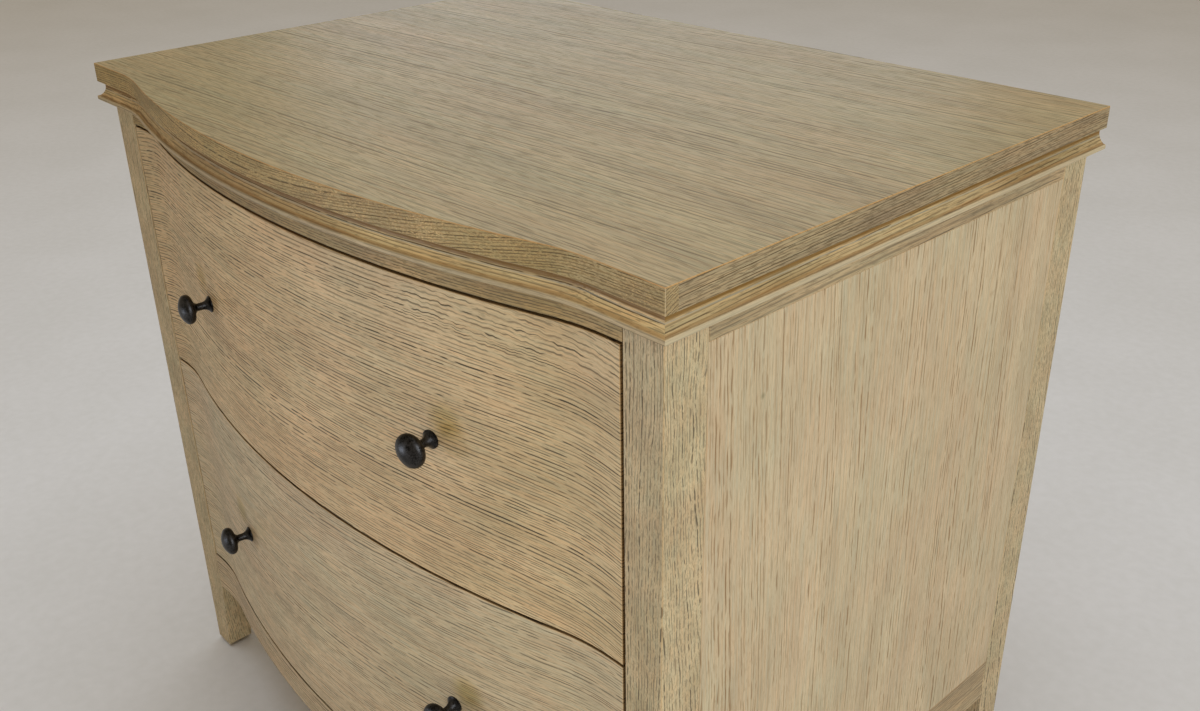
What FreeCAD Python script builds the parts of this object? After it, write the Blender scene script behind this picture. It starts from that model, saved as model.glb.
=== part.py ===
import FreeCAD
import Part
import math
import os

from FreeCAD import Vector

# Two-drawer oak nightstand with a bowed front. The drawer fronts, the rails and the moulded top
# all follow one plan line: a wide bow with a short hollow at each end that runs out square to the posts.
# Millimetres. X runs to the right, Y to the back, Z up. The origin is on the floor, under the middle
# of the whole piece, knobs included.

# Plan of the front
OPENING_HALF = 324.0
BOW = 41.4
CURVE_HALF = 311.0
BOW_SHARE = 0.85
CASE_DEPTH = 480.0

# Posts, panels and rails
POST_X = 34.0
FRONT_POST_Y = 37.5
BACK_POST_Y = 34.0
FOOT_X = 25.0
FOOT_Y = 27.0
PANEL = 18.0
RAIL = 22.0
TONGUE = 6.0
TONGUE_DEPTH = 8.0
TENON_LENGTH = 15.0
TENON_SHOULDER = 3.0
DIVIDER_SHOULDER = 1.0
POST_EASE = 1.0
SEAM_EASE = 0.4

# Heights above the floor
GLIDE = 4.0
GLIDE_RADIUS = 9.0
GLIDE_EASE = 1.0
APRON_BOTTOM = 92.0
LOWER_GAP = 137.0
DRAWER_PITCH = 241.0
GAP = 2.2
CASE_TOP = 636.5
BACK_RAIL_HEIGHT = 38.0
BOTTOM_BOARD = 12.0
BOTTOM_BOARD_DROP = 12.0
APRON_ARCH = 13.0
SIDE_ARCH = 9.0
ARCH_MARGIN = 30.0
CORNER_BLOCK = 58.0

# Moulded top
MOULDING_HEIGHT = 17.1
MOULDING_INSIDE = 38.0
LIP_OUT = 11.2
LIP_HEIGHT = 4.0
LIP_ROUND = 1.1
COVE_OUT = 9.4
COVE_IN = 4.6
COVE_TOP = 14.6
# Deepest point of the cove, as shares of its depth and height
COVE_SHARE_OUT = 0.24
COVE_SHARE_UP = 0.36
TOP_OUT = 9.5
TOP_BACK = 485.0
TOP_THICKNESS = 17.2
TOP_VENEER = 0.7
EDGING = 10.5
TOP_EASE = 0.6

# Divider between the drawers, set back behind the fronts
DIVIDER_BACKSET = 24.0
DIVIDER_DEPTH = 50.0
DIVIDER_HEIGHT = 20.0

# Drawers
FRONT = 22.0
FRONT_EASE = 0.8
SIDE = 12.0
SIDE_HEIGHT = 190.0
SIDE_RAISE = 17.0
SIDE_EASE = 1.5
BOX_BACK = 440.0
BOTTOM = 6.0
BOTTOM_RAISE = 10.0
TAILS = 4
TAIL_FLARE = 2.2
SLOT_NECK = 6.0
SLOT_WIDE = 9.0
SLOT_DEPTH = 9.0

# Telescopic slides
SLIDE_SPACE = 12.7
SLIDE_RAISE = 60.0
SLIDE_FRONT = 28.0
SLIDE_LENGTH = 400.0
MIDDLE_SHORTER = 10.0
DRAWER_SHORTER = 5.0
SLIDE_SHEET = 1.3
SLIDE_HALF_HEIGHT = 22.0
SLIDE_CLEAR = 0.7
SLIDE_FLANGE = 6.4
CLEAT_HEIGHT = 70.0

# Knobs
KNOB_X = 161.0
KNOB_REACH = 27.5
KNOB_HEAD = 13.0
KNOB_ROUND = 4.6
KNOB_RIM_OUT = 20.0
KNOB_NECK = 3.3
KNOB_NECK_START = 8.0
KNOB_NECK_END = 12.0
KNOB_BASE = 7.2
KNOB_FOOT = 1.0
# Waist of the trumpet base, as shares of its flare and height
KNOB_WAIST_IN = 0.27
KNOB_WAIST_UP = 0.48
# Hollow under the head: where it leaves the rim, and how far it is scooped
KNOB_UNDERCUT = math.radians(-60)
KNOB_SCOOP_IN = 1.2
KNOB_SCOOP_OUT = 0.6
KNOB_BORE = 2.1
KNOB_BORE_DEPTH = 14.0
SCREW = 2.0
SCREW_GRIP = 10.0
SCREW_HEAD = 4.5
SCREW_HEAD_HEIGHT = 2.8
SCREW_SEAT = 0.05
SCREW_HOLE = 2.3

# Worked-out sizes
TURN = 2 * math.atan(BOW / CURVE_HALF)
RADIUS_SUM = CURVE_HALF / math.sin(TURN)
BOW_RADIUS = BOW_SHARE * RADIUS_SUM
HOLLOW_RADIUS = RADIUS_SUM - BOW_RADIUS
CASE_HALF = OPENING_HALF + POST_X
PANEL_INSIDE = CASE_HALF - PANEL
BACK_POST_FRONT = CASE_DEPTH - BACK_POST_Y
MIDDLE_GAP = LOWER_GAP + DRAWER_PITCH
UPPER_GAP = MIDDLE_GAP + DRAWER_PITCH
MOULDING_TOP = CASE_TOP + MOULDING_HEIGHT
TOP = MOULDING_TOP + TOP_THICKNESS
BOX_HALF = OPENING_HALF - SLIDE_SPACE
BOX_INSIDE = BOX_HALF - SIDE
KNOB_TURN = math.asin(KNOB_X / BOW_RADIUS)
KNOB_SAG = BOW_RADIUS * (1 - math.cos(KNOB_TURN))
FRONT_REACH = BOW - KNOB_SAG + KNOB_REACH * math.cos(KNOB_TURN)
FACE_Y = (FRONT_REACH - TOP_BACK) / 2
UP = Vector(0, 0, 1)
# Room for cutters to pass through a face, and how near two places are the same
PAST = 1.0
SAME = 0.01
ORIGIN = Vector(0, 0, 0)


def block(x, y, z):
    """Box between pairs of limits; y counts from the posts' front faces."""
    corner = Vector(x[0], FACE_Y + y[0], z[0])
    return Part.makeBox(x[1] - x[0], y[1] - y[0], z[1] - z[0], corner)


def mirrored(shape):
    """The same piece on the other side of the nightstand."""
    return shape.mirror(ORIGIN, Vector(1, 0, 0))


def prism(points, direction):
    """Solid made by pushing a flat outline along a direction."""
    wire = Part.makePolygon(points + points[:1])
    return Part.Face(wire).extrude(direction)


def long_edges(shape, level):
    """Edges along the length of a straight board, at one level."""
    length = max(shape.BoundBox.XLength, shape.BoundBox.YLength)
    edges = [edge for edge in shape.Edges if abs(edge.CenterOfMass.z - level) < SAME]
    return [edge for edge in edges if edge.Length > length - SAME]


def eased_outside(board):
    """Right-hand board with its outer face's edges eased, so that its joints show as fine lines."""
    rim = [edge for edge in board.Edges if edge.CenterOfMass.x > CASE_HALF - SAME]
    return board.makeChamfer(SEAM_EASE, rim)


def front_edges(out, half):
    """Edges of the bowed front in plan, moved forward by out, with straight runs to both ends."""
    hollow = HOLLOW_RADIUS - out

    def hollow_point(turn, side):
        x = CURVE_HALF - hollow * math.sin(turn)
        return Vector(side * x, FACE_Y - HOLLOW_RADIUS + hollow * math.cos(turn), 0)

    edges = []
    for side in (-1, 1):
        start, middle, end = [hollow_point(TURN * part, side) for part in (0, 0.5, 1)]
        edges.append(Part.LineSegment(Vector(side * half, FACE_Y - out, 0), start).toShape())
        edges.append(Part.Arc(start, middle, end).toShape())
    apex = Vector(0, FACE_Y - BOW - out, 0)
    bow = Part.Arc(hollow_point(TURN, -1), apex, hollow_point(TURN, 1))
    return edges + [bow.toShape()]


def raised(edges, bottom, top):
    """Solid that stands on a closed plan outline."""
    face = Part.Face(Part.Wire(Part.__sortEdges__(edges)))
    face.translate(Vector(0, 0, bottom))
    return face.extrude(Vector(0, 0, top - bottom))


def curved_board(out, thickness, half, bottom, top):
    """Board of even thickness that follows the bowed front."""
    edges = front_edges(out, half) + front_edges(out - thickness, half)
    for side in (-1, 1):
        outer = Vector(side * half, FACE_Y - out, 0)
        edges.append(Part.makeLine(outer, outer + Vector(0, thickness, 0)))
    return raised(edges, bottom, top)


def bowed_panel(out, half, back, bottom, top):
    """Flat panel with the bowed front edge and a straight back."""
    corners = [Vector(half, FACE_Y - out, 0), Vector(half, FACE_Y + back, 0)]
    corners += [Vector(-half, FACE_Y + back, 0), Vector(-half, FACE_Y - out, 0)]
    edges = front_edges(out, half)
    edges += [Part.makeLine(first, second) for first, second in zip(corners, corners[1:])]
    return raised(edges, bottom, top)


def front_y(x, out):
    """Depth of the bowed front line at x."""
    x = abs(x)
    if x >= CURVE_HALF:
        return FACE_Y - out
    if x >= (BOW_RADIUS + out) * math.sin(TURN):
        hollow = HOLLOW_RADIUS - out
        return FACE_Y - HOLLOW_RADIUS + math.sqrt(hollow ** 2 - (CURVE_HALF - x) ** 2)
    return FACE_Y - BOW + BOW_RADIUS - math.sqrt((BOW_RADIUS + out) ** 2 - x ** 2)


def middle_of(edge):
    """Point halfway along an edge."""
    return edge.valueAt((edge.FirstParameter + edge.LastParameter) / 2)


def front_outline(shape, out):
    """Edges of a board that lie on its bowed face."""
    chosen = []
    for edge in shape.Edges:
        points = [vertex.Point for vertex in edge.Vertexes] + [middle_of(edge)]
        if all(abs(point.y - front_y(point.x, out)) < SAME for point in points):
            chosen.append(edge)
    return chosen


def long_rims(shape, out):
    """Edges round a bowed face, without the upright seams between its curves."""
    box = shape.BoundBox
    edges = []
    for edge in front_outline(shape, out):
        point = middle_of(edge)
        level = min(abs(point.z - box.ZMin), abs(point.z - box.ZMax)) < SAME
        end = min(abs(point.x - box.XMin), abs(point.x - box.XMax)) < SAME
        if level or end:
            edges.append(edge)
    return edges


def arch(x_half, bottom, rise):
    """Cutter with a shallow round top, lying along Y, that hollows a lower edge."""
    radius = (x_half ** 2 + rise ** 2) / (2 * rise)
    centre = Vector(0, FACE_Y - CASE_DEPTH, bottom + rise - radius)
    return Part.makeCylinder(radius, 3 * CASE_DEPTH, centre, Vector(0, 1, 0))


def rail_tenons(y, z):
    """Tenons at both ends of a rail that spans the opening."""
    z = (z[0] + TENON_SHOULDER, z[1] - TENON_SHOULDER)
    right = block((OPENING_HALF, OPENING_HALF + TENON_LENGTH), y, z)
    return [right, mirrored(right)]


def right_post(y, back):
    """Square post with eased edges and a foot that tapers on its two inner faces."""
    post = block((OPENING_HALF, CASE_HALF), y, (GLIDE, CASE_TOP))
    upright = [edge for edge in post.Edges if edge.Length > CASE_TOP / 2]
    post = post.makeFillet(POST_EASE, upright)
    inner_x = Vector(OPENING_HALF, FACE_Y - PAST, APRON_BOTTOM)
    foot_x = Vector(CASE_HALF - FOOT_X, FACE_Y - PAST, GLIDE)
    corner_x = Vector(OPENING_HALF, FACE_Y - PAST, GLIDE)
    taper_x = prism([inner_x, foot_x, corner_x], Vector(0, CASE_DEPTH + 2 * PAST, 0))
    inner_y, foot_y = (y[0], y[1] - FOOT_Y) if back else (y[1], y[0] + FOOT_Y)
    corners = [(inner_y, APRON_BOTTOM), (foot_y, GLIDE), (inner_y, GLIDE)]
    outline = [Vector(OPENING_HALF - PAST, FACE_Y + depth, height) for depth, height in corners]
    taper_y = prism(outline, Vector(POST_X + 2 * PAST, 0, 0))
    return post.cut([taper_x, taper_y])


def side_frame():
    """Right-hand posts, panel and rails, joined with tongues and tenons."""
    span = (FRONT_POST_Y, BACK_POST_FRONT)
    long_span = (FRONT_POST_Y - TENON_LENGTH, BACK_POST_FRONT + TENON_LENGTH)
    x = (PANEL_INSIDE, CASE_HALF)
    middle = (x[0] + x[1]) / 2
    tongue_x = (middle - TONGUE / 2, middle + TONGUE / 2)
    rails = {}
    for name, z in (("top", (UPPER_GAP, CASE_TOP)), ("bottom", (APRON_BOTTOM, LOWER_GAP))):
        tenon = block(tongue_x, long_span, (z[0] + TENON_SHOULDER, z[1] - TENON_SHOULDER))
        rails[name] = eased_outside(block(x, span, z)).fuse(tenon)
    half = (span[1] - span[0]) / 2 - ARCH_MARGIN
    hollow = arch(half, APRON_BOTTOM, SIDE_ARCH)
    hollow.rotate(Vector(0, FACE_Y, 0), UP, 90)
    hollow.translate(Vector(0, (span[0] + span[1]) / 2, 0))
    rails["bottom"] = rails["bottom"].cut(hollow)
    tongue_y = (span[0] - TONGUE_DEPTH, span[1] + TONGUE_DEPTH)
    tongue_z = (LOWER_GAP - TONGUE_DEPTH, UPPER_GAP + TONGUE_DEPTH)
    panel = eased_outside(block(x, span, (LOWER_GAP, UPPER_GAP)))
    panel = panel.fuse(block(tongue_x, tongue_y, tongue_z))
    rails = {name: rail.cut(panel) for name, rail in rails.items()}
    front = right_post((0, FRONT_POST_Y), back=False)
    back = right_post((BACK_POST_FRONT, CASE_DEPTH), back=True)
    fitted = [panel, rails["top"], rails["bottom"]]
    return {
        "front_post": front.cut(fitted),
        "back_post": back.cut(fitted),
        "side_panel": panel,
        "side_top_rail": rails["top"],
        "side_bottom_rail": rails["bottom"],
    }


def front_rails():
    """Bowed top rail, set-back divider and arched apron, each with its tenons."""
    top_z = (UPPER_GAP + GAP / 2, CASE_TOP)
    divider_z = (MIDDLE_GAP - DIVIDER_HEIGHT / 2, MIDDLE_GAP + DIVIDER_HEIGHT / 2)
    apron_z = (APRON_BOTTOM, LOWER_GAP - GAP / 2)
    tenon_y = (TENON_SHOULDER * 2, RAIL - TENON_SHOULDER * 2)
    divider_y = (DIVIDER_BACKSET + DIVIDER_SHOULDER, FRONT_POST_Y - TENON_SHOULDER)
    top = curved_board(0, RAIL, OPENING_HALF, *top_z).fuse(rail_tenons(tenon_y, top_z))
    divider = curved_board(-DIVIDER_BACKSET, DIVIDER_DEPTH, OPENING_HALF, *divider_z)
    apron = curved_board(0, RAIL, OPENING_HALF, *apron_z)
    apron = apron.cut(arch(OPENING_HALF - ARCH_MARGIN, APRON_BOTTOM, APRON_ARCH))
    return {
        "front_top_rail": top,
        "drawer_divider": divider.fuse(rail_tenons(divider_y, divider_z)),
        "front_apron": apron.fuse(rail_tenons(tenon_y, apron_z)),
    }


def back_frame():
    """Back rails and the thin back panel that slips into their grooves and the posts'."""
    y = (CASE_DEPTH - RAIL, CASE_DEPTH)
    tenon_y = (y[0] + TENON_SHOULDER * 2, y[1] - TENON_SHOULDER * 2)
    levels = {"back_top_rail": (CASE_TOP - BACK_RAIL_HEIGHT, CASE_TOP)}
    levels["back_bottom_rail"] = (APRON_BOTTOM, LOWER_GAP)
    panel_x = OPENING_HALF + TONGUE_DEPTH
    panel_y = (CASE_DEPTH - RAIL / 2 - TONGUE / 2, CASE_DEPTH - RAIL / 2 + TONGUE / 2)
    panel_z = (LOWER_GAP - TONGUE_DEPTH, CASE_TOP - BACK_RAIL_HEIGHT + TONGUE_DEPTH)
    panel = block((-panel_x, panel_x), panel_y, panel_z)
    pieces = {"back_panel": panel}
    for name, z in levels.items():
        rail = block((-OPENING_HALF, OPENING_HALF), y, z).fuse(rail_tenons(tenon_y, z))
        pieces[name] = rail.cut(panel)
    return pieces


def bottom_board():
    """Board under the lower drawer, housed in the apron and the bottom rails."""
    top = LOWER_GAP - BOTTOM_BOARD_DROP
    z = (top - BOTTOM_BOARD, top)
    back = CASE_DEPTH - RAIL + TONGUE
    middle = bowed_panel(TONGUE - RAIL, OPENING_HALF, back, *z)
    wide = PANEL_INSIDE + TONGUE
    return middle.fuse(block((-wide, wide), (FRONT_POST_Y, BACK_POST_FRONT), z)).removeSplitter()


def corner_blocks(pieces):
    """Three-cornered glue blocks behind the feet, under the bottom board."""
    leg = CORNER_BLOCK
    z = (APRON_BOTTOM + TENON_SHOULDER, LOWER_GAP - BOTTOM_BOARD_DROP - BOTTOM_BOARD)
    blocks = []
    for y, turn in ((RAIL, 1), (CASE_DEPTH - RAIL, -1)):
        corner = Vector(PANEL_INSIDE, FACE_Y + y, z[0])
        outline = [corner, corner + Vector(-leg, 0, 0), corner + Vector(0, turn * leg, 0)]
        wedge = prism(outline, Vector(0, 0, z[1] - z[0]))
        for name in ("front_post_right", "back_post_right", "front_apron"):
            wedge = wedge.cut(pieces[name])
        blocks += [wedge, mirrored(wedge)]
    return Part.makeCompound(blocks)


def slide_levels():
    """Height of the middle of the slides of each drawer."""
    return {
        "upper": MIDDLE_GAP + SIDE_RAISE + SLIDE_RAISE,
        "lower": LOWER_GAP + SIDE_RAISE + SLIDE_RAISE,
    }


def slide_cleats():
    """Packing strips that bring the slides flush with the posts."""
    cleats = []
    for level in slide_levels().values():
        z = (level - CLEAT_HEIGHT / 2, level + CLEAT_HEIGHT / 2)
        cleat = block((OPENING_HALF, PANEL_INSIDE), (FRONT_POST_Y, BACK_POST_FRONT), z)
        cleats += [cleat, mirrored(cleat)]
    return Part.makeCompound(cleats)


def channel(web, opening, half_height, level, length):
    """Right-hand slide member: sheet with its web at web, folded into flanges that reach to opening."""
    turn = 1 if opening > web else -1
    inner = web + turn * SLIDE_SHEET
    y = (SLIDE_FRONT, SLIDE_FRONT + length)
    whole = block(sorted((web, opening)), y, (level - half_height, level + half_height))
    folds = long_edges(whole, level - half_height) + long_edges(whole, level + half_height)
    folds = [edge for edge in folds if abs(edge.CenterOfMass.x - web) < SAME]
    whole = whole.makeFillet(SLIDE_SHEET, folds)
    room = half_height - SLIDE_SHEET
    return whole.cut(block(sorted((inner, opening)), y, (level - room, level + room)))


def slide_members(level):
    """Fixed, middle and drawer members of a pair of slides, nested with running clearance."""
    step = SLIDE_SHEET + SLIDE_CLEAR
    fixed = channel(OPENING_HALF, OPENING_HALF - SLIDE_FLANGE, SLIDE_HALF_HEIGHT, level, SLIDE_LENGTH)
    web = OPENING_HALF - step
    height = SLIDE_HALF_HEIGHT - step
    middle = channel(web, web - SLIDE_FLANGE, height, level, SLIDE_LENGTH - MIDDLE_SHORTER)
    height = height - step
    drawer = channel(BOX_HALF, BOX_HALF + SLIDE_FLANGE, height, level, SLIDE_LENGTH - DRAWER_SHORTER)
    return [Part.makeCompound([member, mirrored(member)]) for member in (fixed, middle, drawer)]


def moulding_profile():
    """Outline of the cove moulding: distance out from the case face, and height above the case."""
    inner = -MOULDING_INSIDE
    lip = LIP_OUT - LIP_ROUND
    corner = LIP_ROUND * (1 - math.sqrt(0.5))
    lip_start = (LIP_OUT, LIP_HEIGHT - LIP_ROUND)
    cove_out = COVE_IN + COVE_SHARE_OUT * (COVE_OUT - COVE_IN)
    cove_up = LIP_HEIGHT + COVE_SHARE_UP * (COVE_TOP - LIP_HEIGHT)
    return [
        ("line", (inner, MOULDING_HEIGHT), (inner, 0)),
        ("line", (inner, 0), (lip, 0)),
        ("arc", (lip, 0), (LIP_OUT - corner, corner), (LIP_OUT, LIP_ROUND)),
        ("line", (LIP_OUT, LIP_ROUND), lip_start),
        ("arc", lip_start, (LIP_OUT - corner, LIP_HEIGHT - corner), (lip, LIP_HEIGHT)),
        ("line", (lip, LIP_HEIGHT), (COVE_OUT, LIP_HEIGHT)),
        ("arc", (COVE_OUT, LIP_HEIGHT), (cove_out, cove_up), (COVE_IN, COVE_TOP)),
        ("line", (COVE_IN, COVE_TOP), (COVE_IN, MOULDING_HEIGHT)),
        ("line", (COVE_IN, MOULDING_HEIGHT), (inner, MOULDING_HEIGHT)),
    ]


def profile_face(place):
    """Face of the moulding outline, set up by a function from (out, up) to a point."""
    edges = []
    for kind, *points in moulding_profile():
        points = [place(out, CASE_TOP + up) for out, up in points]
        if kind == "arc":
            edges.append(Part.Arc(*points).toShape())
        else:
            edges.append(Part.makeLine(*points))
    return Part.Face(Part.Wire(edges))


def corner_half(towards_front):
    """Three-cornered cutter that leaves one half of the mitre at the right front corner."""
    reach = 4 * MOULDING_INSIDE
    corner = Vector(CASE_HALF, FACE_Y, CASE_TOP - PAST)
    outline = [corner + Vector(reach, -reach, 0), corner + Vector(-reach, reach, 0)]
    outline.append(corner + (Vector(reach, reach, 0) if towards_front else Vector(-reach, -reach, 0)))
    return prism(outline, Vector(0, 0, MOULDING_HEIGHT + 2 * PAST))


def mouldings():
    """Cove moulding round the front and sides, mitred at the corners, with a plain rail at the back."""
    degrees = math.degrees(TURN)
    bow_axis = Vector(0, FACE_Y - BOW + BOW_RADIUS, 0)
    bow = profile_face(lambda out, up: Vector(0, FACE_Y - BOW - out, up))
    bow.rotate(bow_axis, UP, -degrees)
    bow = bow.revolve(bow_axis, UP, 2 * degrees)
    end = profile_face(lambda out, up: Vector(CURVE_HALF, FACE_Y - out, up))
    hollow = end.revolve(Vector(CURVE_HALF, FACE_Y - HOLLOW_RADIUS, 0), UP, degrees)
    run = end.extrude(Vector(CASE_HALF + LIP_OUT - CURVE_HALF, 0, 0))
    front = bow.fuse([hollow, run, mirrored(hollow), mirrored(run)])
    far_corner = corner_half(towards_front=True)
    front = front.cut([far_corner, mirrored(far_corner)])
    side = profile_face(lambda out, up: Vector(CASE_HALF + out, FACE_Y - LIP_OUT, up))
    side = side.extrude(Vector(0, LIP_OUT + TOP_BACK, 0)).cut(corner_half(towards_front=False))
    inside = CASE_HALF - MOULDING_INSIDE
    back = block((-inside, inside), (TOP_BACK - MOULDING_INSIDE, TOP_BACK), (CASE_TOP, MOULDING_TOP))
    return {
        "moulding_front": front,
        "moulding_right": side,
        "moulding_left": mirrored(side),
        "subtop_back_rail": back,
    }


def top_boards():
    """Top: a core board lipped on three sides, with one veneer laid over the core and its edgings."""
    z = (MOULDING_TOP, TOP - TOP_VENEER)
    half = CASE_HALF + TOP_OUT
    front = curved_board(TOP_OUT, EDGING, half, *z)
    lower = [edge for edge in long_rims(front, TOP_OUT) if middle_of(edge).z < z[1] - SAME]
    front = front.makeFillet(TOP_EASE, lower)
    side = block((half - EDGING, half), (EDGING - TOP_OUT, TOP_BACK), z)
    veneer = bowed_panel(TOP_OUT, half, TOP_BACK, z[1], TOP)
    rim = [edge for edge in long_rims(veneer, TOP_OUT) if middle_of(edge).z > z[1] + SAME]
    ends = [edge for edge in veneer.Edges if abs(edge.CenterOfMass.x) > half - SAME]
    rim += [edge for edge in ends if edge.CenterOfMass.z > TOP - SAME]
    return {
        "top_core": bowed_panel(TOP_OUT - EDGING, half - EDGING, TOP_BACK, *z),
        "top_edging_front": front,
        "top_edging_right": side,
        "top_edging_left": mirrored(side),
        "top_veneer": veneer.makeFillet(TOP_EASE, rim),
    }


def dovetails(z):
    """Tails on the rear end of a right-hand drawer side, flaring towards the end."""
    pitch = (z[1] - z[0]) / TAILS
    tails = []
    for number in range(TAILS):
        middle = z[0] + pitch * (number + 0.5)
        narrow = pitch / 2 - 2 * TAIL_FLARE
        wide = narrow + TAIL_FLARE
        shoulder = FACE_Y + BOX_BACK - SIDE
        end = FACE_Y + BOX_BACK
        outline = [
            Vector(BOX_INSIDE, shoulder, middle - narrow),
            Vector(BOX_INSIDE, end, middle - wide),
            Vector(BOX_INSIDE, end, middle + wide),
            Vector(BOX_INSIDE, shoulder, middle + narrow),
        ]
        tails.append(prism(outline, Vector(SIDE, 0, 0)))
    return tails


def sliding_dovetail(z):
    """Tongue at the front end of a right-hand drawer side, wider at its tip."""
    middle = BOX_INSIDE + SIDE / 2
    root = FACE_Y + FRONT
    tip = root - SLOT_DEPTH
    outline = [
        Vector(middle - SLOT_NECK / 2, root, z[0]),
        Vector(middle + SLOT_NECK / 2, root, z[0]),
        Vector(middle + SLOT_WIDE / 2, tip, z[0]),
        Vector(middle - SLOT_WIDE / 2, tip, z[0]),
    ]
    return prism(outline, Vector(0, 0, z[1] - z[0]))


def knob():
    """Turned knob on the Y axis: trumpet base, slim neck and a domed bun head with a blind bore."""
    def point(radius, out):
        return Vector(radius, -out, 0)

    rim = KNOB_HEAD - KNOB_ROUND
    drop = KNOB_REACH - KNOB_RIM_OUT
    dome = (rim ** 2 + drop ** 2 - KNOB_ROUND ** 2) / (2 * (drop - KNOB_ROUND))
    lean = math.asin(rim / (dome - KNOB_ROUND))

    def on_dome(turn):
        return point(dome * math.sin(turn), KNOB_REACH - dome + dome * math.cos(turn))

    def on_rim(turn):
        return point(rim + KNOB_ROUND * math.cos(turn), KNOB_RIM_OUT + KNOB_ROUND * math.sin(turn))

    centre = point(0, 0)
    foot = point(KNOB_BASE, 0)
    foot_top = point(KNOB_BASE, KNOB_FOOT)
    neck_start = point(KNOB_NECK, KNOB_NECK_START)
    neck_end = point(KNOB_NECK, KNOB_NECK_END)
    waist = point(KNOB_NECK + KNOB_WAIST_IN * (KNOB_BASE - KNOB_NECK), KNOB_WAIST_UP * KNOB_NECK_START)
    under = on_rim(KNOB_UNDERCUT)
    scoop_radius = (KNOB_NECK + under.x) / 2 - KNOB_SCOOP_IN
    scoop = point(scoop_radius, (KNOB_NECK_END - under.y) / 2 + KNOB_SCOOP_OUT)
    edges = [
        Part.makeLine(centre, foot),
        Part.makeLine(foot, foot_top),
        Part.Arc(foot_top, waist, neck_start).toShape(),
        Part.makeLine(neck_start, neck_end),
        Part.Arc(neck_end, scoop, under).toShape(),
        Part.Arc(under, on_rim(0), on_dome(lean)).toShape(),
        Part.Arc(on_dome(lean), on_dome(lean / 2), on_dome(0)).toShape(),
        Part.makeLine(on_dome(0), centre),
    ]
    solid = Part.Face(Part.Wire(edges)).revolve(ORIGIN, Vector(0, 1, 0), 360)
    bore = Part.makeCylinder(KNOB_BORE, KNOB_BORE_DEPTH, ORIGIN, Vector(0, -1, 0))
    return solid.cut(bore)


def knob_screw():
    """Round-headed screw that holds the knob from inside the drawer."""
    seat = FRONT + SCREW_SEAT
    shank = Part.makeCylinder(SCREW, seat + SCREW_GRIP, Vector(0, seat, 0), Vector(0, -1, 0))
    head = Part.makeCylinder(SCREW_HEAD, SCREW_HEAD_HEIGHT, Vector(0, seat, 0), Vector(0, 1, 0))
    rim = [edge for edge in head.Edges if edge.Closed and edge.CenterOfMass.y > seat + SAME]
    return shank.fuse(head.makeFillet(SCREW_HEAD_HEIGHT / 2, rim))


def on_front(shape, side, level):
    """Piece made on the Y axis, moved to a knob's place and turned square to the bowed face."""
    placed = shape.copy()
    placed.rotate(ORIGIN, UP, side * math.degrees(KNOB_TURN))
    placed.translate(Vector(side * KNOB_X, FACE_Y - BOW + KNOB_SAG, level))
    return placed


def drawer(gap, level):
    """Pieces of the drawer above a gap, with its half of the slides at a level."""
    z = (gap + SIDE_RAISE, gap + SIDE_RAISE + SIDE_HEIGHT)
    face_z = (gap + GAP / 2, gap + DRAWER_PITCH - GAP / 2)
    bottom_z = (z[0] + BOTTOM_RAISE, z[0] + BOTTOM_RAISE + BOTTOM)
    groove = SIDE / 2
    front = curved_board(0, FRONT, OPENING_HALF - GAP, *face_z)
    front = front.makeFillet(FRONT_EASE, long_rims(front, 0))
    wide = bowed_panel(groove - FRONT, OPENING_HALF, BOX_BACK, *bottom_z)
    reach = BOX_INSIDE + groove
    bottom = wide.common(block((-reach, reach), (-BOW - FRONT, BOX_BACK), bottom_z))
    upper = (bottom_z[1], z[1])
    side = block((BOX_INSIDE, BOX_HALF), (0, BOX_BACK), (z[0], bottom_z[1]))
    wall = block((BOX_INSIDE, BOX_HALF), (0, BOX_BACK - SIDE), upper)
    side = side.fuse(wall.makeFillet(SIDE_EASE, long_edges(wall, z[1]))).removeSplitter()
    side = side.cut(front).fuse([sliding_dovetail(z)] + dovetails(upper)).cut(bottom)
    sides = [mirrored(side), side]
    back = block((-BOX_HALF, BOX_HALF), (BOX_BACK - SIDE, BOX_BACK), upper)
    back = back.makeFillet(SIDE_EASE, long_edges(back, z[1])).cut(sides)
    front = front.cut(sides + [bottom])
    middle = gap + DRAWER_PITCH / 2
    hole = Part.makeCylinder(SCREW_HOLE, 3 * FRONT, Vector(0, 2 * FRONT, 0), Vector(0, -1, 0))
    front = front.cut([on_front(hole, turn, middle) for turn in (-1, 1)])
    screws = [on_front(knob_screw(), turn, middle) for turn in (-1, 1)]
    return {
        "front": front,
        "side_left": sides[0],
        "side_right": sides[1],
        "back": back,
        "bottom": bottom,
        "knob_left": on_front(knob(), -1, middle),
        "knob_right": on_front(knob(), 1, middle),
        "knob_screws": Part.makeCompound(screws),
        "slide_members": slide_members(level)[2],
    }


def foot_glides():
    """Round glides under the posts."""
    glides = []
    for y in (FOOT_Y / 2, CASE_DEPTH - FOOT_Y / 2):
        place = Vector(CASE_HALF - FOOT_X / 2, FACE_Y + y, 0)
        disc = Part.makeCylinder(GLIDE_RADIUS, GLIDE, place)
        rim = [edge for edge in disc.Edges if edge.Closed and edge.CenterOfMass.z < SAME]
        glide = disc.makeFillet(GLIDE_EASE, rim)
        glides += [glide, mirrored(glide)]
    return Part.makeCompound(glides)


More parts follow.
